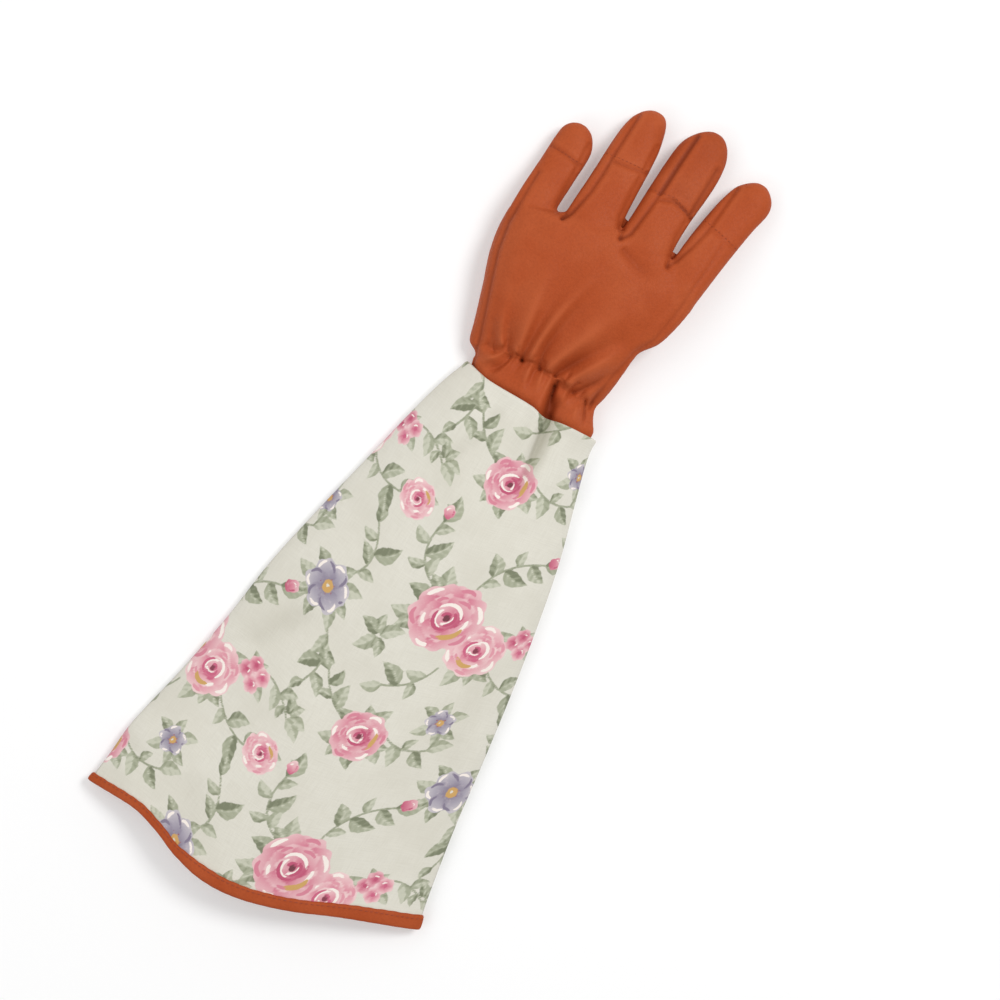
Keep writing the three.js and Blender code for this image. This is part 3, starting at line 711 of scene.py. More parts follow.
def woven(n, flat):
    """The crossing threads of a plain weave, and the uneven thickness of the threads."""
    across, along = n.add("SeparateXYZ", {0: flat}).outputs[:2]
    waves_across, waves_along = (
        n.math("SINE", n.math("MULTIPLY", way, 2 * math.pi / THREAD_PITCH)) for way in (across, along)
    )
    slubs_across = n.noise(n.scaled(flat, (0.09, 1.5, 1.0)), 1.0, 3.0)
    slubs_along = n.noise(n.scaled(flat, (1.5, 0.09, 1.0)), 1.0, 3.0)
    return n.math("MULTIPLY", waves_across, waves_along), n.math("ADD", slubs_across, slubs_along)


def printed(n, flat, cream):
    """The print over the cream ground: the mesh holds the distances to its edges, cut sharp here."""
    wobble = n.math("MULTIPLY", n.math("SUBTRACT", n.noise(flat, 1.7, 3.0, 0.6), 0.5), 0.85)
    wash = n.noise(flat, 4.2, 4.0, 0.65)

    def cover(name, soft=0.22):
        return n.step(n.math("ADD", n.attribute(name), wobble), -soft, soft)

    unevenness = n.math("MULTIPLY", n.math("SUBTRACT", wash, 0.5), 0.7)
    leaf_tone = n.math("ADD", n.attribute("leaf_tone"), unevenness)
    leaf = n.mix(n.step(leaf_tone, 0.0, 0.5), LEAF_TONES["pale"], LEAF_TONES["mid"])
    leaf = n.mix(n.step(leaf_tone, 0.5, 1.0), leaf, LEAF_TONES["deep"])
    petal = n.mix(n.step(wash, 0.5, 0.85, 0.0, 0.4), n.attribute("petal_colour", "Color"), PETAL_WASH)
    petal = n.mix(cover("light_edge"), petal, PETAL_LIGHT)
    petal = n.mix(cover("deep_edge"), petal, n.attribute("deep_colour", "Color"))
    return n.mix(cover("petal_edge"), n.mix(cover("leaf_edge", 0.32), cream, leaf), petal)


def cloth_material():
    """Plain-woven cotton with its print, and painted shade in its creases."""
    n = Nodes("printed_cotton")
    flat = n.attribute("flat", "Vector")
    weave, slubs = woven(n, flat)
    cloudy = n.noise(flat, 38.0, 3.0)
    cream = n.mix(n.step(cloudy, 0.35, 0.7, 0.0, 0.45), CLOTH_TONES["plain"], CLOTH_TONES["shade"])
    cream = n.mix(n.step(slubs, 0.75, 1.3, 0.0, 0.4), cream, CLOTH_TONES["shade"])
    tone = n.mix(n.step(weave, -1.0, 1.0, 0.0, 0.1), printed(n, flat, cream), cream)
    # Painted shade in the dips of the cloth's folds
    tone = n.mix(n.step(n.attribute("dip"), -0.6, -4.0, 0.0, 0.5), tone, CLOTH_TONES["dip"], "MULTIPLY")
    surface = n.bump(weave, 0.1, 0.35)
    surface = n.bump(slubs, 0.22, 0.4, surface)
    surface = n.bump(n.noise(flat, 16.0, 3.0), 0.8, 0.35, surface)
    return n.shaded(Base_Color=tone, Normal=surface, Roughness=0.9, Specular_IOR_Level=0.2, Sheen_Weight=0.1,
                    Sheen_Roughness=0.5)


# The print: a half-drop repeat of roses, lilac blooms, small blossoms and leaf sprays

REPEAT = (128.0, 164.0)
# Leafy stems: start, bow, end, leaves, leaf length, darkness
BRANCHES = (
    ((44, 66), (48, 90), (74, 96), 6, 17.0, 0.52),
    ((22, 64), (2, 74), (8, 98), 6, 16.0, 0.46),
    ((76, 26), (92, 8), (114, 18), 5, 17.0, 0.5),
    ((104, 124), (120, 138), (104, 158), 5, 16.5, 0.56),
    ((44, 138), (56, 128), (70, 134), 4, 15.0, 0.48),
    ((108, 98), (124, 84), (114, 64), 5, 15.5, 0.6),
    ((50, 20), (44, 6), (26, 2), 4, 16.0, 0.44),
    ((18, 140), (4, 146), (-4, 160), 4, 14.5, 0.6),
    ((96, 52), (108, 52), (118, 42), 4, 13.5, 0.42),
)
# Groups of leaves: middle, where they start, the headings that they point to, length, darkness
CLUSTERS = (
    (38, 50, 13, (112, 136, 162, 190, 214), 19.0, 0.55),
    (62, 34, 8, (-104, -72, -40, 40), 17.5, 0.5),
    (98, 112, 8, (20, 58, 138, 172, 214, 262, 304, 338), 15.5, 0.5),
    (30, 134, 7, (62, 100, 150, 196, 238, 282, 322, 352), 15.5, 0.58),
    (86, 44, 3, (-30, 60, 110, 160), 12.5, 0.5),
    (68, 152, 4, (30, 84, 150, 214, 276, 330), 12.5, 0.45),
    (10, 26, 1, (30, 96, 160, 228, 292), 14.5, 0.5),
    (118, 44, 1, (-10, 52, 118), 12.0, 0.46),
)
# Flowers, in the order that they are painted: kind, middle, radius, turn, colours, and petals if not as usual
FLOWERS = (
    ("rose", 64, 35, 16.5, 0.4, BLUSH),
    ("rose", 38, 50, 20.5, 1.3, ROSE),
    ("bloom", 98, 112, 14.5, 0.2, LILAC),
    ("rose", 30, 134, 15.0, 2.2, ROSE),
    ("rose", 116, 18, 11.0, 3.0, BLUSH),
    ("bud", 80, 99, 6.0, 0.4, ROSE),
    ("blossom", 82, 46, 5.2, 0.0, ROSE),
    ("blossom", 89, 41, 5.2, 0.7, BLUSH),
    ("blossom", 86, 51, 5.2, 1.4, ROSE),
    ("blossom", 93, 48, 5.2, 2.1, BLUSH),
    ("bloom", 68, 152, 8.5, 0.6, LILAC, 5),
    ("bud", 8, 104, 5.0, 1.7, BLUSH),
)
# The edge distance of places that have no print
NOWHERE = -6.0


def beside(x, y, out, angle):
    """The place at some distance from x, y."""
    return x + out * math.cos(angle), y + out * math.sin(angle)


def turns(count, start):
    """Angles evenly spaced all the way round."""
    return [start + i * 2 * math.pi / count for i in range(count)]


class Print:
    """Paints the repeat over points of the flat cloth. Each edge is kept as a distance, above 0 inside it."""

    def __init__(self, across, along):
        self.across, self.along = across, along
        count = len(across)
        for name in ("leaf_edge", "petal_edge", "deep_edge", "light_edge"):
            setattr(self, name, np.full(count, NOWHERE))
        self.leaf_tone = np.full(count, 0.5)
        self.petal_colour = np.tile(ROSE["mid"], (count, 1))
        self.deep_colour = np.tile(ROSE["deep"], (count, 1))

    def near(self, x, y, reach, angle=0.0):
        """The points within reach of a place in the repeat, and where they are as seen from it."""
        dx = self.across - x
        column = np.round(dx / REPEAT[0])
        dx = dx - column * REPEAT[0]
        dy = self.along - y - column * REPEAT[1] / 2
        dy = dy - np.round(dy / REPEAT[1]) * REPEAT[1]
        close = np.flatnonzero(np.square(dx) + np.square(dy) < reach**2)
        dx, dy = dx[close], dy[close]
        cos, sin = math.cos(angle), math.sin(angle)
        return close, dx * cos + dy * sin, dy * cos - dx * sin

    def lay_green(self, close, edge, tone):
        """Lays a leaf or stem where it reaches further than what is there."""
        self.leaf_tone[close] = np.where(edge > self.leaf_edge[close], tone, self.leaf_tone[close])
        self.leaf_edge[close] = np.maximum(edge, self.leaf_edge[close])

    def leaf(self, x, y, angle, length, width, tone):
        """A pointed leaf that grows from x, y, with one half darker and a pale midrib."""
        close, a, b = self.near(x, y, length + 5, angle)
        t = np.clip(a / length, 0, 1)
        b = b + 0.12 * length * (t - t * t) * 4 * (1 if tone > 0.5 else -1)
        half = width / 2 * np.sin(np.pi * t**0.72) * (1 + 0.05 * np.sin(a * 1.5 + length))
        edge = np.where((a > 0) & (a < length), (half - np.abs(b)) * 0.85, -np.hypot(b, a - t * length))
        rib = -0.42 * bell(b, 0.55) * (t > 0.12)
        veins = 0.14 * np.sin((a - 0.8 * np.abs(b)) * 1.5)
        self.lay_green(close, edge, tone + np.where(b > 0, 0.24, -0.2) + rib + veins + 0.25 * (0.5 - t))

    def stem(self, line, half, tone):
        """A thin stem through a few points."""
        for (ax, ay), (bx, by) in zip(line, line[1:]):
            length = math.hypot(bx - ax, by - ay)
            heading = math.atan2(by - ay, bx - ax)
            close, a, b = self.near((ax + bx) / 2, (ay + by) / 2, length / 2 + 3, heading)
            self.lay_green(close, half - np.hypot(b, np.maximum(np.abs(a) - length / 2, 0)), tone)

    def spray(self, start, bow, end, leaves, length, tone):
        """A bowed stem with leaves that take turns on its two sides, and one at its end."""
        line = bowed_line(start, bow, end)
        self.stem(line, 0.62, 0.66)
        for i in range(leaves):
            at = (i + 1) / leaves * (len(line) - 1)
            k = min(int(at), len(line) - 2)
            x, y = lerp(line[k], line[k + 1], at - k)
            heading = math.atan2(*(line[k + 1] - line[k])[::-1])
            side = (1 if i % 2 else -1) * (0.95 if i < leaves - 1 else 0.1)
            size = length * (0.86 + 0.22 * math.sin(2.1 * i + length))
            self.leaf(x, y, heading + side, size, size * 0.54, tone + 0.16 * (i % 3 - 1))

    def fan(self, x, y, start, headings, length, tone):
        """Leaves that stand out round a place, or from behind a flower."""
        for i, heading in enumerate(headings):
            angle = math.radians(heading)
            size = length * (1, 0.84, 0.93)[i % 3]
            self.leaf(*beside(x, y, start, angle), angle, size, size * 0.56, tone + 0.15 * (i % 3 - 1))

    def petal(self, x, y, radius, outward, tones, stretch=1.0):
        """A ruffled petal, pale at its outer rim and deep towards the flower's heart."""
        close, a, b = self.near(x, y, radius * 1.5 + 3, outward)
        ruffle = 1 + 0.07 * np.sin(4 * np.arctan2(b, a) + x) + 0.04 * np.sin(7 * np.arctan2(b, a) + y)
        edge = radius - np.hypot(a, b / stretch) / ruffle
        t = np.clip(0.5 - 0.55 * a / radius, 0, 1)[:, None]
        pale, mid, deep = (np.array(tones[key]) for key in ("pale", "mid", "deep"))
        colour = np.where(t < 0.5, lerp(pale, mid, t / 0.5), lerp(mid, deep, (t - 0.5) / 0.5))
        keep = edge > np.minimum(0, np.maximum(self.petal_edge[close], -1.6))
        self.petal_colour[close] = np.where(keep[:, None], colour, self.petal_colour[close])
        for layer in (self.deep_edge, self.light_edge):
            layer[close] = np.where(edge > 0, np.minimum(layer[close], -edge), layer[close])
        self.petal_edge[close] = np.maximum(edge, self.petal_edge[close])

    def stroke(self, x, y, radius, facing, span, half, colour=None):
        """A brush stroke along an arc, pointed at both ends, and pale if no colour is given."""
        close, a, b = self.near(x, y, radius + 3 * half + 3, facing)
        r, turn = np.hypot(a, b), np.arctan2(b, a) / span
        full = half * np.sqrt(np.clip(1 - np.square(turn), 0, 1))
        beyond = radius * span * np.maximum(np.abs(turn) - 1, 0)
        edge = full - np.abs(r - radius * (1 + 0.04 * np.sin(3 * turn + x))) - beyond
        layer = self.light_edge if colour is None else self.deep_edge
        if colour is not None:
            own = edge > np.maximum(self.deep_edge[close], -2.0)
            self.deep_colour[close] = np.where(own[:, None], colour, self.deep_colour[close])
        layer[close] = np.maximum(layer[close], edge)

    def dab(self, x, y, radius, colour):
        """A small round dab."""
        self.stroke(x, y, 0.35 * radius, 0.0, 3.3, 0.65 * radius, colour)

    def ring_of_petals(self, x, y, out, size, angles, tones, stretch):
        """Petals round a rose's middle, each with two strokes."""
        for i, angle in enumerate(angles):
            spot = beside(x, y, out, angle)
            self.petal(*spot, size, angle, tones, stretch)
            colour = None if i % 2 else tones["mid"]
            self.stroke(*spot, 0.78 * size, angle + 0.25, 0.8, 0.1 * size + 0.25, colour)
            self.stroke(*spot, 0.62 * size, angle + 2.6, 0.7, 0.09 * size + 0.3, tones["deep"])

    def rose(self, x, y, radius, turn, tones):
        """A full rose: ruffled outer petals, a paler cup with pale and deep strokes, and a dark heart."""
        self.ring_of_petals(x, y, 0.52 * radius, 0.5 * radius, turns(6, turn), tones, 1.25)
        self.ring_of_petals(x, y, 0.3 * radius, 0.4 * radius, turns(5, turn + 0.9), tones, 1.2)
        self.petal(x, y, 0.42 * radius, turn + 1.5, tones)
        self.stroke(x, y, 0.62 * radius, turn + 4.0, 0.62, 0.085 * radius, OCHRE)
        for i, share in enumerate((0.4, 0.29, 0.19)):
            facing = turn + 2.1 * i
            self.stroke(x, y, share * radius, facing, 1.25, 0.05 * radius + 0.1)
            within = (share - 0.055) * radius
            self.stroke(x, y, within, facing + 2.6, 1.3, 0.045 * radius + 0.15, tones["deep"])
        self.dab(x, y, 0.1 * radius + 0.3, tones["heart"])

    def bloom(self, x, y, radius, turn, tones, petals=6):
        """An open bloom of broad petals, with strokes out from its middle and a ring of seeds."""
        for angle in turns(petals, turn):
            spot = beside(x, y, 0.55 * radius, angle)
            self.petal(*spot, 0.47 * radius, angle, tones, 0.95)
            self.stroke(*spot, 0.34 * radius, angle + 0.5, 0.8, 0.04 * radius + 0.3)
            self.stroke(*spot, 0.36 * radius, angle - 1.3, 0.8, 0.04 * radius + 0.3, tones["deep"])
        self.dab(x, y, 0.27 * radius, OCHRE)
        self.dab(x + 0.05 * radius, y, 0.15 * radius, tones["heart"])
        for angle in turns(7, turn + 0.3):
            self.dab(*beside(x, y, 0.33 * radius, angle), 0.5, tones["heart"])

    def blossom(self, x, y, radius, turn, tones):
        """A small five-petalled blossom."""
        for angle in turns(5, turn):
            self.petal(*beside(x, y, 0.52 * radius, angle), 0.5 * radius, angle, tones)
        self.stroke(x, y, 0.4 * radius, turn, 0.9, 0.5)
        self.dab(x, y, 0.24 * radius, tones["deep"])

    def bud(self, x, y, radius, heading, tones):
        """A rosebud that points along its heading, with its green cup."""
        cup = [math.degrees(heading) + turn for turn in (-38, 0, 38)]
        self.fan(x, y, -radius * 0.4, cup, radius * 1.5, 0.6)
        self.petal(x, y, radius * 0.8, heading, tones, 0.8)
        self.stroke(x, y, 0.4 * radius, heading + 0.6, 1.0, 0.45)
        self.stroke(x, y, 0.45 * radius, heading - 1.4, 0.9, 0.5, tones["deep"])

    def paint(self):
        """The whole repeat."""
        for branch in BRANCHES:
            self.spray(*branch)
        for cluster in CLUSTERS:
            self.fan(*cluster)
        for kind, *how in FLOWERS:
            getattr(self, kind)(*how)

    def attributes(self):
        return {key: value for key, value in vars(self).items() if key not in ("across", "along")}


# The cuff

def spaced(count, even):
    """From 1 down to -1, closer together towards both ends. even is 1 for the same distance everywhere."""
    t = np.arange(count) / count
    return lerp(np.cos(np.pi * t), 1 - 2 * t, even)


def ring_samples(upper, lower, even):
    """Where a section's points are: u across the glove, which are on top, and how far round each is."""
    top, under = spaced(upper, even), -spaced(lower, even)
    u = np.concatenate([top, under])
    up = np.concatenate([np.ones(upper, bool), np.zeros(lower, bool)])
    turn = np.concatenate([(1 - top) / 2, (3 + under) / 2])
    return u, up, turn


def arched(u, powers):
    """How far a face stands away from its side edges, 0 there and 1 in the middle."""
    return np.power(1 - np.power(np.abs(u), powers[0]), powers[1])


def cuff_ripples(x, y):
    """Shallow undulations of soft cloth, and fine puckers along the seam with the leather."""
    puckers = 0.07 * np.cos(2 * np.pi * (x + 1.2 * np.sin(x / 6.0)) / 5.4) * smoothstep(y, 290, 311)
    return waves(x, y, CLOTH_WAVES) * smoothstep(y, 4, 30) + puckers


def across_edge(edge, across):
    """The height of the hem or the seam at a share of the way across."""
    return follow(edge, "y", lerp(edge["x"][0], edge["x"][-1], across))


def cuff_surface(u, up, v, inset=0.0):
    """Points of the cuff. v is 0 at the hem and 1 at the seam, and inset is the depth below the outside."""
    across = (u + 1) / 2
    y = lerp(across_edge(HEM, across), across_edge(SEAM, across), v)
    left_y = lerp(HEM["y"][0], SEAM["y"][0], v)
    right_y = lerp(HEM["y"][-1], SEAM["y"][-1], v)
    x = lerp(follow(CUFF, "left", left_y) + inset, follow(CUFF, "right", right_y) - inset, across)
    level = (left_y + right_y) / 2
    edge = follow(CUFF, "edge", level)
    top = follow(CUFF, "top", level) + fold_rise(CUFF_FOLDS, x, y) - inset
    bottom = follow(CUFF, "bottom", level) + inset
    soft, flat = arched(u, CUFF_ARCH), arched(u, UNDER_ARCH)
    z = np.where(up, lerp(edge, top, soft) + cuff_ripples(x, y) * soft, lerp(edge, bottom, flat))
    return np.stack(np.broadcast_arrays(x, y, np.maximum(z, 0.0)), -1)


def flat_positions(rings):
    """Where each point lies on the flat cloth, measured round each section from the middle of its top."""
    steps = np.linalg.norm(np.diff(rings, axis=1, append=rings[:, :1]), axis=2)
    walked = np.cumsum(steps, axis=1) - steps
    middle = CUFF_GRID["front"] // 2
    across = walked[:, middle:middle + 1] - walked
    around = steps.sum(1, keepdims=True)
    across = np.where(-across > 0.5 * around + CLOTH_SEAM, across + around, across)
    return across, np.broadcast_to(np.linspace(0, CUFF_LENGTH, len(rings))[:, None], across.shape)


def pad(values, count, value):
    """Values with more rows of one value at the end."""
    return np.concatenate([values, np.full((count, *values.shape[1:]), value)])


def cuff_attributes(outer, up, lining):
    """What the cloth's shader reads at each point. The lining's points come last and stay plain."""
    across, along = flat_positions(outer)
    flat = np.stack([across, along, np.zeros_like(across)], -1).reshape(-1, 3)
    # The folds' rise, read by the shader for the painted shade in their dips
    dip = fold_rise(CUFF_FOLDS, *outer.reshape(-1, 3)[:, :2].T) * np.tile(up, len(outer))
    painting = Print(across.ravel() + PRINT_START[0], along.ravel() + PRINT_START[1])
    painting.paint()
    attributes = {"flat": pad(flat, lining, 0.0), "dip": pad(dip, lining, 0.0)}
    for key, values in painting.attributes().items():
        attributes[key] = pad(values, lining, NOWHERE)
    return attributes


def cloth_layer(front, back, rows, even, inset):
    """One face of the cloth tube: its rings of points, which are on top, and how far round each is."""
    u, up, turn = ring_samples(front, back, even)
    v = np.linspace(1.0 / CUFF_LENGTH, 1.0, rows)[:, None]
    return cuff_surface(u, up, v, inset(v)), up, turn


def lip(v):
    """How deep the cloth's face lies near the seam: its edge is rolled in over the leather."""
    return 0.5 * smoothstep(v, 1 - 0.8 / CUFF_LENGTH, 1.0) - 0.5 * smoothstep(v, 1 - 6.0 / CUFF_LENGTH, 1.0)


def make_cuff():
    """The cloth tube, with its print on the outer face, a plain inner face and thick edges."""
    outer, up, turn = cloth_layer(**CUFF_GRID, inset=lip)
    inner, _, inner_turn = cloth_layer(**LINING_GRID, inset=lambda v: CLOTH)
    (rows, columns), (inner_rows, inner_columns) = outer.shape[:2], inner.shape[:2]
    start = rows * columns
    inner_last = start + (inner_rows - 1) * inner_columns
    lining = grid_faces(inner_rows, inner_columns, start)[:, ::-1]
    hem = np.array(bridge(turn, 0, inner_turn, start))
    seam = np.array(bridge(turn, start - columns, inner_turn, inner_last))[:, ::-1]
    points = np.vstack([outer.reshape(-1, 3), inner.reshape(-1, 3)])
    faces = [np.vstack([grid_faces(rows, columns), lining]), np.vstack([hem, seam])]
    return make_object("printed_cuff", points, faces, cuff_attributes(outer, up, len(points) - start))


def binding_lift(u, height):
    """How far above the hem a part of the binding is: the strip gets wider from the left to the right."""
    wider = lerp(0.68, 1, smoothstep(u, -0.45, -0.18)) + 0.22 * smoothstep(u, 0.2, 1.0)
    return height * wider - 1.2 * np.maximum(wider - 1, 0)


def make_binding():
    """The leather strip folded over the hem."""
    u, up, turn = ring_samples(*BINDING_RING)
    ripple = 0.22 * np.sin(turn * 190) + 0.16 * np.sin(turn * 77 + 1)
    rows = []
    for height, inset in zip(*BINDING_PROFILE.values()):
        lift = binding_lift(u, height) + ripple * (0.5 if height > 4 else 0.15)
        rows.append(cuff_surface(u, up, lift / CUFF_LENGTH, inset))
    rings = np.array(rows)
    quads = grid_faces(len(rows) + 1, len(u)) % (len(rows) * len(u))
    # Painted shadow along the binding's upper edges where they meet the cloth, and a very faint painted
    # highlight on the rest
    relief = np.repeat(np.where(BINDING_PROFILE["height"] > 7.2, -0.9, 0.2), len(u))
    return make_object("bound_hem", rings.reshape(-1, 3), [quads], {"relief": relief})


# The leather hand

def hand_rings():
    """The hand from inside the cuff's mouth to the finger roots. It dips under the cloth's edge."""
    u, up, _ = ring_samples(*HAND_RING)
    across = (u + 1) / 2
    y = HAND_ROWS[:, None]
    inset = 2.7 * (1 - smoothstep(y, 311.5, 316))
    x = lerp(follow(HAND, "left", y) + inset, follow(HAND, "right", y) - inset, across)
    placed_y = y + (across_edge(SEAM, across) - HAND["y"][0]) * (1 - smoothstep(y, HAND["y"][0], 330))
    edge = lerp(follow(HAND, "edge_left", y), follow(HAND, "edge_right", y), across)
    crest = follow(HAND, "top", y) - inset
    heel, cradle = follow(HAND, "heel", y), follow(HAND, "cradle", y)
    under = lerp(heel, cradle, smoothstep(x, -42, -22)) + inset
    arch = lerp(arched(u, CUFF_ARCH), arched(u, HAND_ARCH), smoothstep(y, 316, 345))
    z = np.where(up, lerp(edge, crest, arch), lerp(edge, under, arched(u, UNDER_ARCH)))
    return np.stack(np.broadcast_arrays(x, placed_y, z), -1)


def tip_rounding(distance, reach):
    """How thick a tube is near its tip, as a share of its full thickness."""
    return np.sqrt(1 - np.square(1 - np.clip(distance / reach, 0.03, 1)))


def tube_rings(y, left, right, middle, half):
    """A finger-like tube from its side edges, its height and its half thickness."""
    angle = np.linspace(0, 2 * np.pi, TUBE_POINTS, endpoint=False)
    u, side = np.cos(angle), np.sign(np.sin(angle))
    arch = side * arched(u, TUBE_ARCH)
    x = lerp(left, right, (u + 1) / 2)
    return np.stack(np.broadcast_arrays(x, y, middle + half * arch), -1)


def finger_rings(crown, root, tip, edges):
    """A finger, closer cut towards its tip."""
    first, last = edges["y"][0], edges["y"][-1]
    t = np.linspace(0, 1, TUBE_ROWS["finger"])[:, None]
    y = lerp(first, last, 1 - np.square(1 - t))
    middle = lerp(root, tip, smoothstep(y, first + 8, last))
    rounding = tip_rounding(last - y, TIP_LENGTH["finger"])
    half = crown / 2 * rounding * lerp(0.84, 1, smoothstep(y, first, first + 12))
    return tube_rings(y, follow(edges, "left", y), follow(edges, "right", y), middle, half)


def web_rings(x, y, to_x, to_y, height, half):
    """A low web between two fingers, from the palm to where the fingers part."""
    t = np.linspace(0, 1, TUBE_ROWS["web"])[:, None]
    size = half * tip_rounding(1 - t, 0.5)
    middle = lerp(x, to_x, t)
    return tube_rings(lerp(y, to_y, t), middle - size, middle + size, height, size * 0.65)


def joined(forms):
    """Several closed forms as one. A form is its points, and its four-cornered and three-cornered faces."""
    every_point, quads, triangles, start = [], [], [], 0
    for points, (four, three) in forms:
        every_point.append(points)
        quads.append(four + start)
        triangles.append(three + start)
        start += len(points)
    return np.vstack(every_point), [np.vstack(quads), np.vstack(triangles)]


def hand_skin():
    """The hand, its fingers and the webs between them as one smooth skin: points and four-cornered faces."""
    fingers = [finger_rings(*finger) for finger in FINGERS.values()]
    webs = [web_rings(*web) for web in zip(*WEBS.values())]
    obj = make_object("hand_form", *joined([closed_tube(rings) for rings in (hand_rings(), *fingers, *webs)]))
    union = obj.modifiers.new("union", "REMESH")
    union.mode = "VOXEL"
    union.voxel_size = VOXEL * MM
    soften = obj.modifiers.new("soften", "SMOOTH")
    soften.factor = 0.5
    soften.iterations = SMOOTHINGS
    return take_mesh(obj)


def elastic_rise(x, y):
    """The leather drawn in along the elastic, puffed above and below it."""
    away = y - follow(ELASTIC, "y", x)
    within = smoothstep(x, -46, -38) * (1 - smoothstep(x, 26, 32))
    return sum(rise * bell(away - above, width) for above, rise, width in PUFFS) * within


def seam_relief(x, y, seams):
    """The grooves of sewn seams, with the leather swelling a little beside them."""
    groove = np.zeros(len(x))
    for depth, line in seams:
        away = along_path(x, y, np.array(line, float))[1]
        own = -depth * bell(away, 1.35) + 0.25 * depth * bell(away - 3.2, 1.6)
        groove = np.where(np.abs(own) > np.abs(groove), own, groove)
    return groove


def work_hand(points, quads):
    """Works the gathers, folds and seams into the skin. Returns its points, normals and painted light and
    tone: shade in dips, creases and seams, highlight on ridges, paler tips, a darker middle cap.
    """
    normals = point_normals(points, quads)
    x, y, _ = points.T
    facing_up = smoothstep(normals[:, 2], 0.0, 0.5)
    folds, sharp = curved_rise(HAND_FOLDS, x, y)
    folds += fold_rise(CUFF_FOLDS, x, y) * (1 - smoothstep(y, 315, 326))
    lift = facing_up * (folds + elastic_rise(x, y) + waves(x, y, LEATHER_WAVES))
    groove = seam_relief(x, y, BACK_SEAMS + CAP_SEAMS) * facing_up
    worked = points + normals * groove[:, None]
    worked[:, 2] += lift
    share = SHADE_AND_TONE_SHARES
    tips = share["tips"] * smoothstep(y, 420, 470) - share["middle_cap"] * inside(points, CAPS["middle"])
    # Painted highlight on ridges and painted shade in dips, sharp creases and seam grooves, with paler tips
    # and a darker middle cap
    forms = np.where(lift > 0, share["ridge_highlight"], share["dip"]) * lift + share["crease"] * sharp
    return worked, point_normals(worked, quads), forms * facing_up + share["seam"] * groove + tips


def panel_of_faces(middles):
    """The name of the panel that each face belongs to."""
    panel = np.full(len(middles), "hand_palm", dtype="U40")
    upper = middles[:, 2] > follow(PARTING, "z", middles[:, 1])
    panel[upper & inside(middles, BACK_PANEL)] = "hand_back"
    for name, outline in CAPS.items():
        panel[inside(middles, outline)] = f"cap_{name}"
    for name, outline in FOURCHETTES.items():
        panel[inside(middles, outline)] = f"fourchette_{name}"
    return panel


def make_hand(material):
    """The leather panels of the hand, cut from one worked skin, which it returns."""
    points, quads = hand_skin()
    quads = quads[points[quads].mean(1)[:, 1] > LEATHER_FROM]
    panel = panel_of_faces(points[quads].mean(1))
    worked, normals, relief = work_hand(points, quads)
    for name in np.unique(panel):
        obj = leather_shell(f"leather_{name}", worked, normals, [quads[panel == name]], relief)
        finish_piece(obj, material, [str(name)])
    return worked, quads


def thumb_rings():
    """The thumb, closer cut towards its tip."""
    first, last = THUMB["y"][0], THUMB["y"][-1]
    t = np.linspace(0, 1, TUBE_ROWS["thumb"])[:, None]
    y = lerp(first, last, 1 - np.power(1 - t, 1.6))
    left, right, bottom, top = (follow(THUMB, side, y) for side in ("left", "right", "bottom", "top"))
    half = (top - bottom) / 2 * tip_rounding(last - y, TIP_LENGTH["thumb"])
    return tube_rings(y, left, right, (top + bottom) / 2, half)


def make_thumb(material):
    """The thumb tube, open where it meets the palm, and its cap."""
    rings = thumb_rings()
    points, (quads, ends) = closed_tube(rings)
    quads, tip = quads[:, ::-1], ends[rings.shape[1]:, ::-1]
    groove = seam_relief(*points[:, :2].T, [(0.6, THUMB_CAP_LINE)])
    points = points + point_normals(points, quads) * groove[:, None]
    normals = point_normals(points, quads)
    above = points[:, 1] > np.interp(points[:, 0], *np.array(THUMB_CAP_LINE, float).T)
    in_cap = above[quads].mean(1) > 0.5
    for name, faces in (("thumb", [quads[~in_cap]]), ("thumb_cap", [quads[in_cap], tip])):
        # The cap seam's groove also gives the painted shade along it
        obj = leather_shell(f"leather_{name}", points, normals, faces, groove)
        finish_piece(obj, material, [name])


def rounded_outline(outline):
    """An outline with more points and rounded corners."""
    corners = np.array(outline, float)
    shares = np.linspace(0, 1, 6, endpoint=False)[:, None]
    dense = np.concatenate([lerp(a, b, shares) for a, b in zip(corners, np.roll(corners, -1, axis=0))])
    for _ in range(8):
        dense = (np.roll(dense, 1, axis=0) + dense + np.roll(dense, -1, axis=0)) / 3
    return dense


def make_pads(material, tree):
    """The padded patches of the palm, crowned away from the leather that they lie on."""
    middle, size = np.array(PAD_OVAL[:2]), np.array(PAD_OVAL[2:]) / 2
    angles = np.linspace(0, 2 * np.pi, 28, endpoint=False)
    oval = [middle + size * (math.cos(angle), math.sin(angle)) for angle in angles]
    shares = np.array(PAD_SHARES)
    swell = PAD_HEIGHT * arched(shares, PAD_ARCH) + PAD_EDGE
    for name, outline in (("pad_heel", PAD_HEEL), ("pad_oval", oval)):
        edge = rounded_outline(outline)
        inwards = [lerp(edge.mean(0), edge, share) for share in shares]
        under = np.array([[spot_below(tree, *spot) for spot in ring] for ring in inwards])
        crown = under - swell[:, None, None] * (0, 0, 1)
        points, faces = closed_tube(np.concatenate([under[::-1], crown]))
        obj = make_object(f"padded_{name}", points, faces, {"relief": np.zeros(len(points))})
        finish_piece(obj, material, [name])


# Stitches

def spot_below(tree, x, y):
    """The lowest point of the leather above x, y on the floor."""
    hit = tree.ray_cast(Vector((x, y, -20)), Vector((0, 0, 1)))
    return np.array(hit[0]) if hit[0] else np.array([x, y, 3.0])


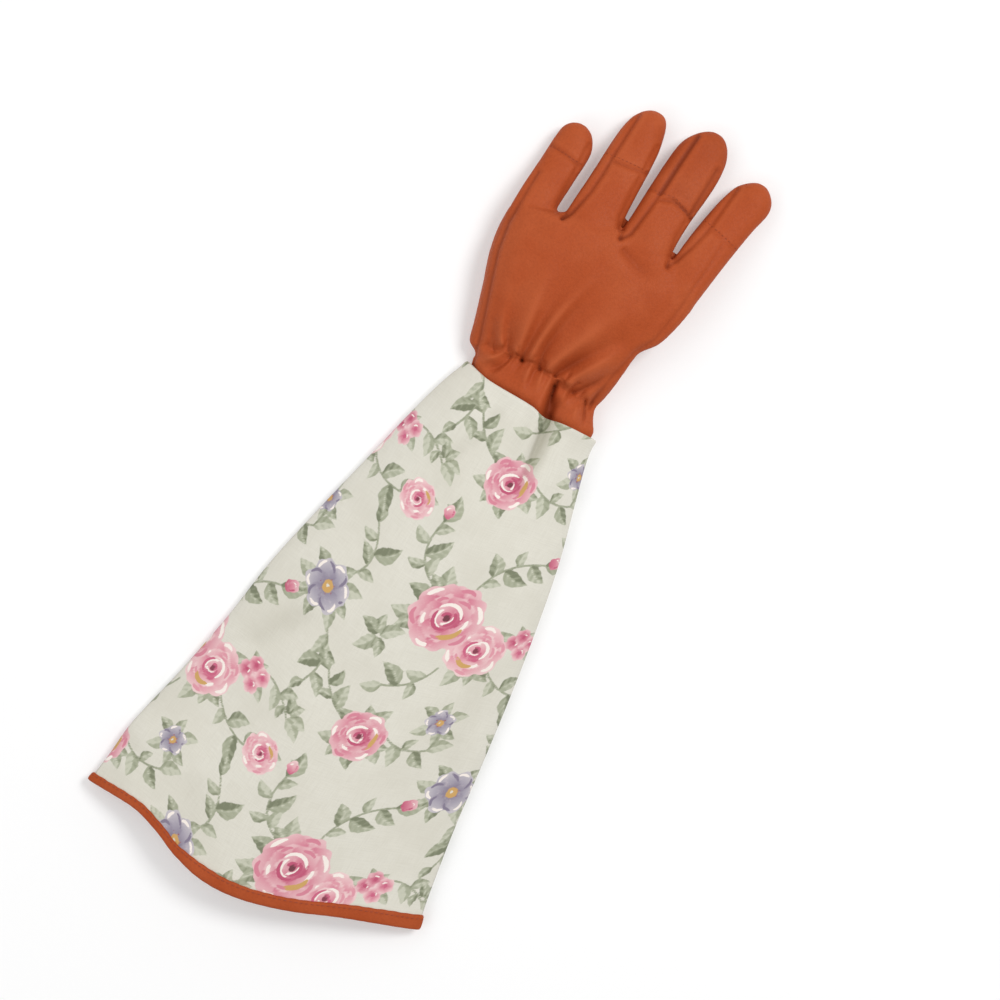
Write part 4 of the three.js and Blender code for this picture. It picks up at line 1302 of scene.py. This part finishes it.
def stitch_spots(tree, line, pitch, side):
    """Evenly spaced places along a line in plan, dropped onto the leather, with normals and headings. side is
    1 for the upper face and -1 for the lower."""
    corners = np.array(line, float)
    spots = []
    for a, b in zip(corners, corners[1:]):
        count = max(1, int(np.linalg.norm(b - a) / pitch))
        for t in (np.arange(count) + 0.5) / count:
            start = Vector((*lerp(a, b, t), 20 + 40 * side))
            spot, normal, _, _ = tree.ray_cast(start, Vector((0, 0, -side)))
            if spot and abs(normal.z) > STEEPEST_STITCH:
                spots.append((np.array(spot), np.array(normal) * math.copysign(1, normal.z * side), b - a))
    return spots


def make_stitches(kind, spots, material):
    """Short raised stitches of one kind as one mesh."""
    length, width = STITCHES[kind]["length"], STITCHES[kind]["width"]
    angle = np.linspace(0, 2 * np.pi, 6, endpoint=False)
    ring = np.stack([np.zeros(6), np.cos(angle), np.sin(angle)], -1) * width / 2
    shape, faces = closed_tube(np.array([ring * share + (at * length, 0, 0) for at, share in STITCH_PROFILE]))
    stitches = []
    for spot, normal, way in spots:
        along = np.array([way[0], way[1], 0.0])
        along = along - normal * (along @ normal)
        along /= np.linalg.norm(along)
        turned = shape @ np.array([along, np.cross(normal, along), normal])
        stitches.append((spot + normal * STITCH_RISE + turned, faces))
    finish_piece(make_object(f"{kind}_stitches", *joined(stitches)), material)


def hem_stitch_spots():
    """Stitches along the binding, near its upper edge, all the way round."""
    u, up, _ = ring_samples(*STITCH_RING)
    v = binding_lift(u, ABOVE_HEM) / CUFF_LENGTH
    ring = cuff_surface(u, up, v, BINDING_FACE)
    inner = cuff_surface(u, up, v, 0.0)
    walked = np.concatenate([[0], np.cumsum(np.linalg.norm(np.diff(ring, axis=0), axis=1))])
    spots = []
    for at in np.arange(1.0, walked[-1] - 1.0, STITCHES["hem"]["pitch"]):
        i = min(int(np.searchsorted(walked, at)), len(ring) - 2)
        out = ring[i] - inner[i]
        out = np.array([0.0, 0.0, 1.0 if up[i] else -1.0]) + out / max(np.linalg.norm(out), 1e-6)
        spots.append((ring[i], out / np.linalg.norm(out), (ring[i + 1] - ring[i])[:2]))
    return spots


def make_all_stitches(tree, leather_thread, hem_thread):
    """The stitches of the caps, the palm and the hem."""
    caps = []
    for outline in CAPS.values():
        line = [(x, y + ABOVE_CAP_SEAM) for x, y in outline[:-2]]
        for side in (1, -1):
            caps += stitch_spots(tree, line, STITCHES["cap"]["pitch"], side)
    palm = []
    for line in PALM_STITCHES:
        palm += stitch_spots(tree, line, STITCHES["palm"]["pitch"], -1)
    make_stitches("cap", caps, leather_thread)
    make_stitches("palm", palm, leather_thread)
    make_stitches("hem", hem_stitch_spots(), hem_thread)


# Camera, floor and lights

def make_camera():
    camera = place_object("camera", bpy.data.cameras.new("camera"))
    camera.data.sensor_width = SENSOR
    camera.data.lens = SENSOR * (CAMERA_HEIGHT - LOOKS_AT[2] * MM) / (PICTURE * MM_PER_PIXEL * MM)
    camera.data.clip_end = CAMERA_REACH
    target = (np.array(LOOKS_AT) + SHIFT) * MM
    camera.location = (target[0], target[1], CAMERA_HEIGHT)
    camera.rotation_euler = (0.0, 0.0, LEAN)
    bpy.context.scene.camera = camera


def make_floor():
    half, drop = FLOOR["half"], FLOOR["drop"]
    corners = [(x * half, y * half, -drop) for x, y in ((-1, -1), (1, -1), (1, 1), (-1, 1))]
    mesh = bpy.data.meshes.new("floor")
    mesh.from_pydata(corners, [], [(0, 1, 2, 3)])
    material = Nodes("pale_floor").shaded(
        Base_Color=(FLOOR["tone"],) * 3, Roughness=FLOOR["rough"], Emission_Color=WHITE,
        Emission_Strength=FLOOR["glow"],
    )
    mesh.materials.append(material)
    place_object("floor", mesh)


def make_lights():
    for i, (place, size, power) in enumerate(LIGHTS):
        light = bpy.data.lights.new(f"soft_light_{i}", "AREA")
        light.shape = "DISK"
        light.size = size
        light.energy = power
        obj = place_object(f"soft_light_{i}", light)
        obj.location = place
        obj.rotation_euler = (-Vector(place)).to_track_quat("-Z", "Y").to_euler()
    world = bpy.data.worlds.new("studio")
    world.use_nodes = True
    background = world.node_tree.nodes["Background"]
    background.inputs["Color"].default_value = (*WHITE, 1.0)
    background.inputs["Strength"].default_value = WORLD_LIGHT
    bpy.context.scene.world = world
    bpy.context.scene.view_settings.view_transform = "Standard"


def build():
    make_camera()
    make_floor()
    make_lights()
    leather = leather_material("glove_leather")
    binding = leather_material("binding_leather", BINDING_WARMTH)
    finish_piece(make_cuff(), cloth_material(), ["gauntlet"])
    finish_piece(make_binding(), binding, ["hem_binding"])
    points, quads = make_hand(leather)
    make_thumb(leather)
    tree = BVHTree.FromPolygons(points.tolist(), quads.tolist())
    make_pads(leather, tree)
    leather_thread = thread_material("leather_thread", LEATHER_THREAD)
    make_all_stitches(tree, leather_thread, thread_material("hem_thread", HEM_THREAD))


build()
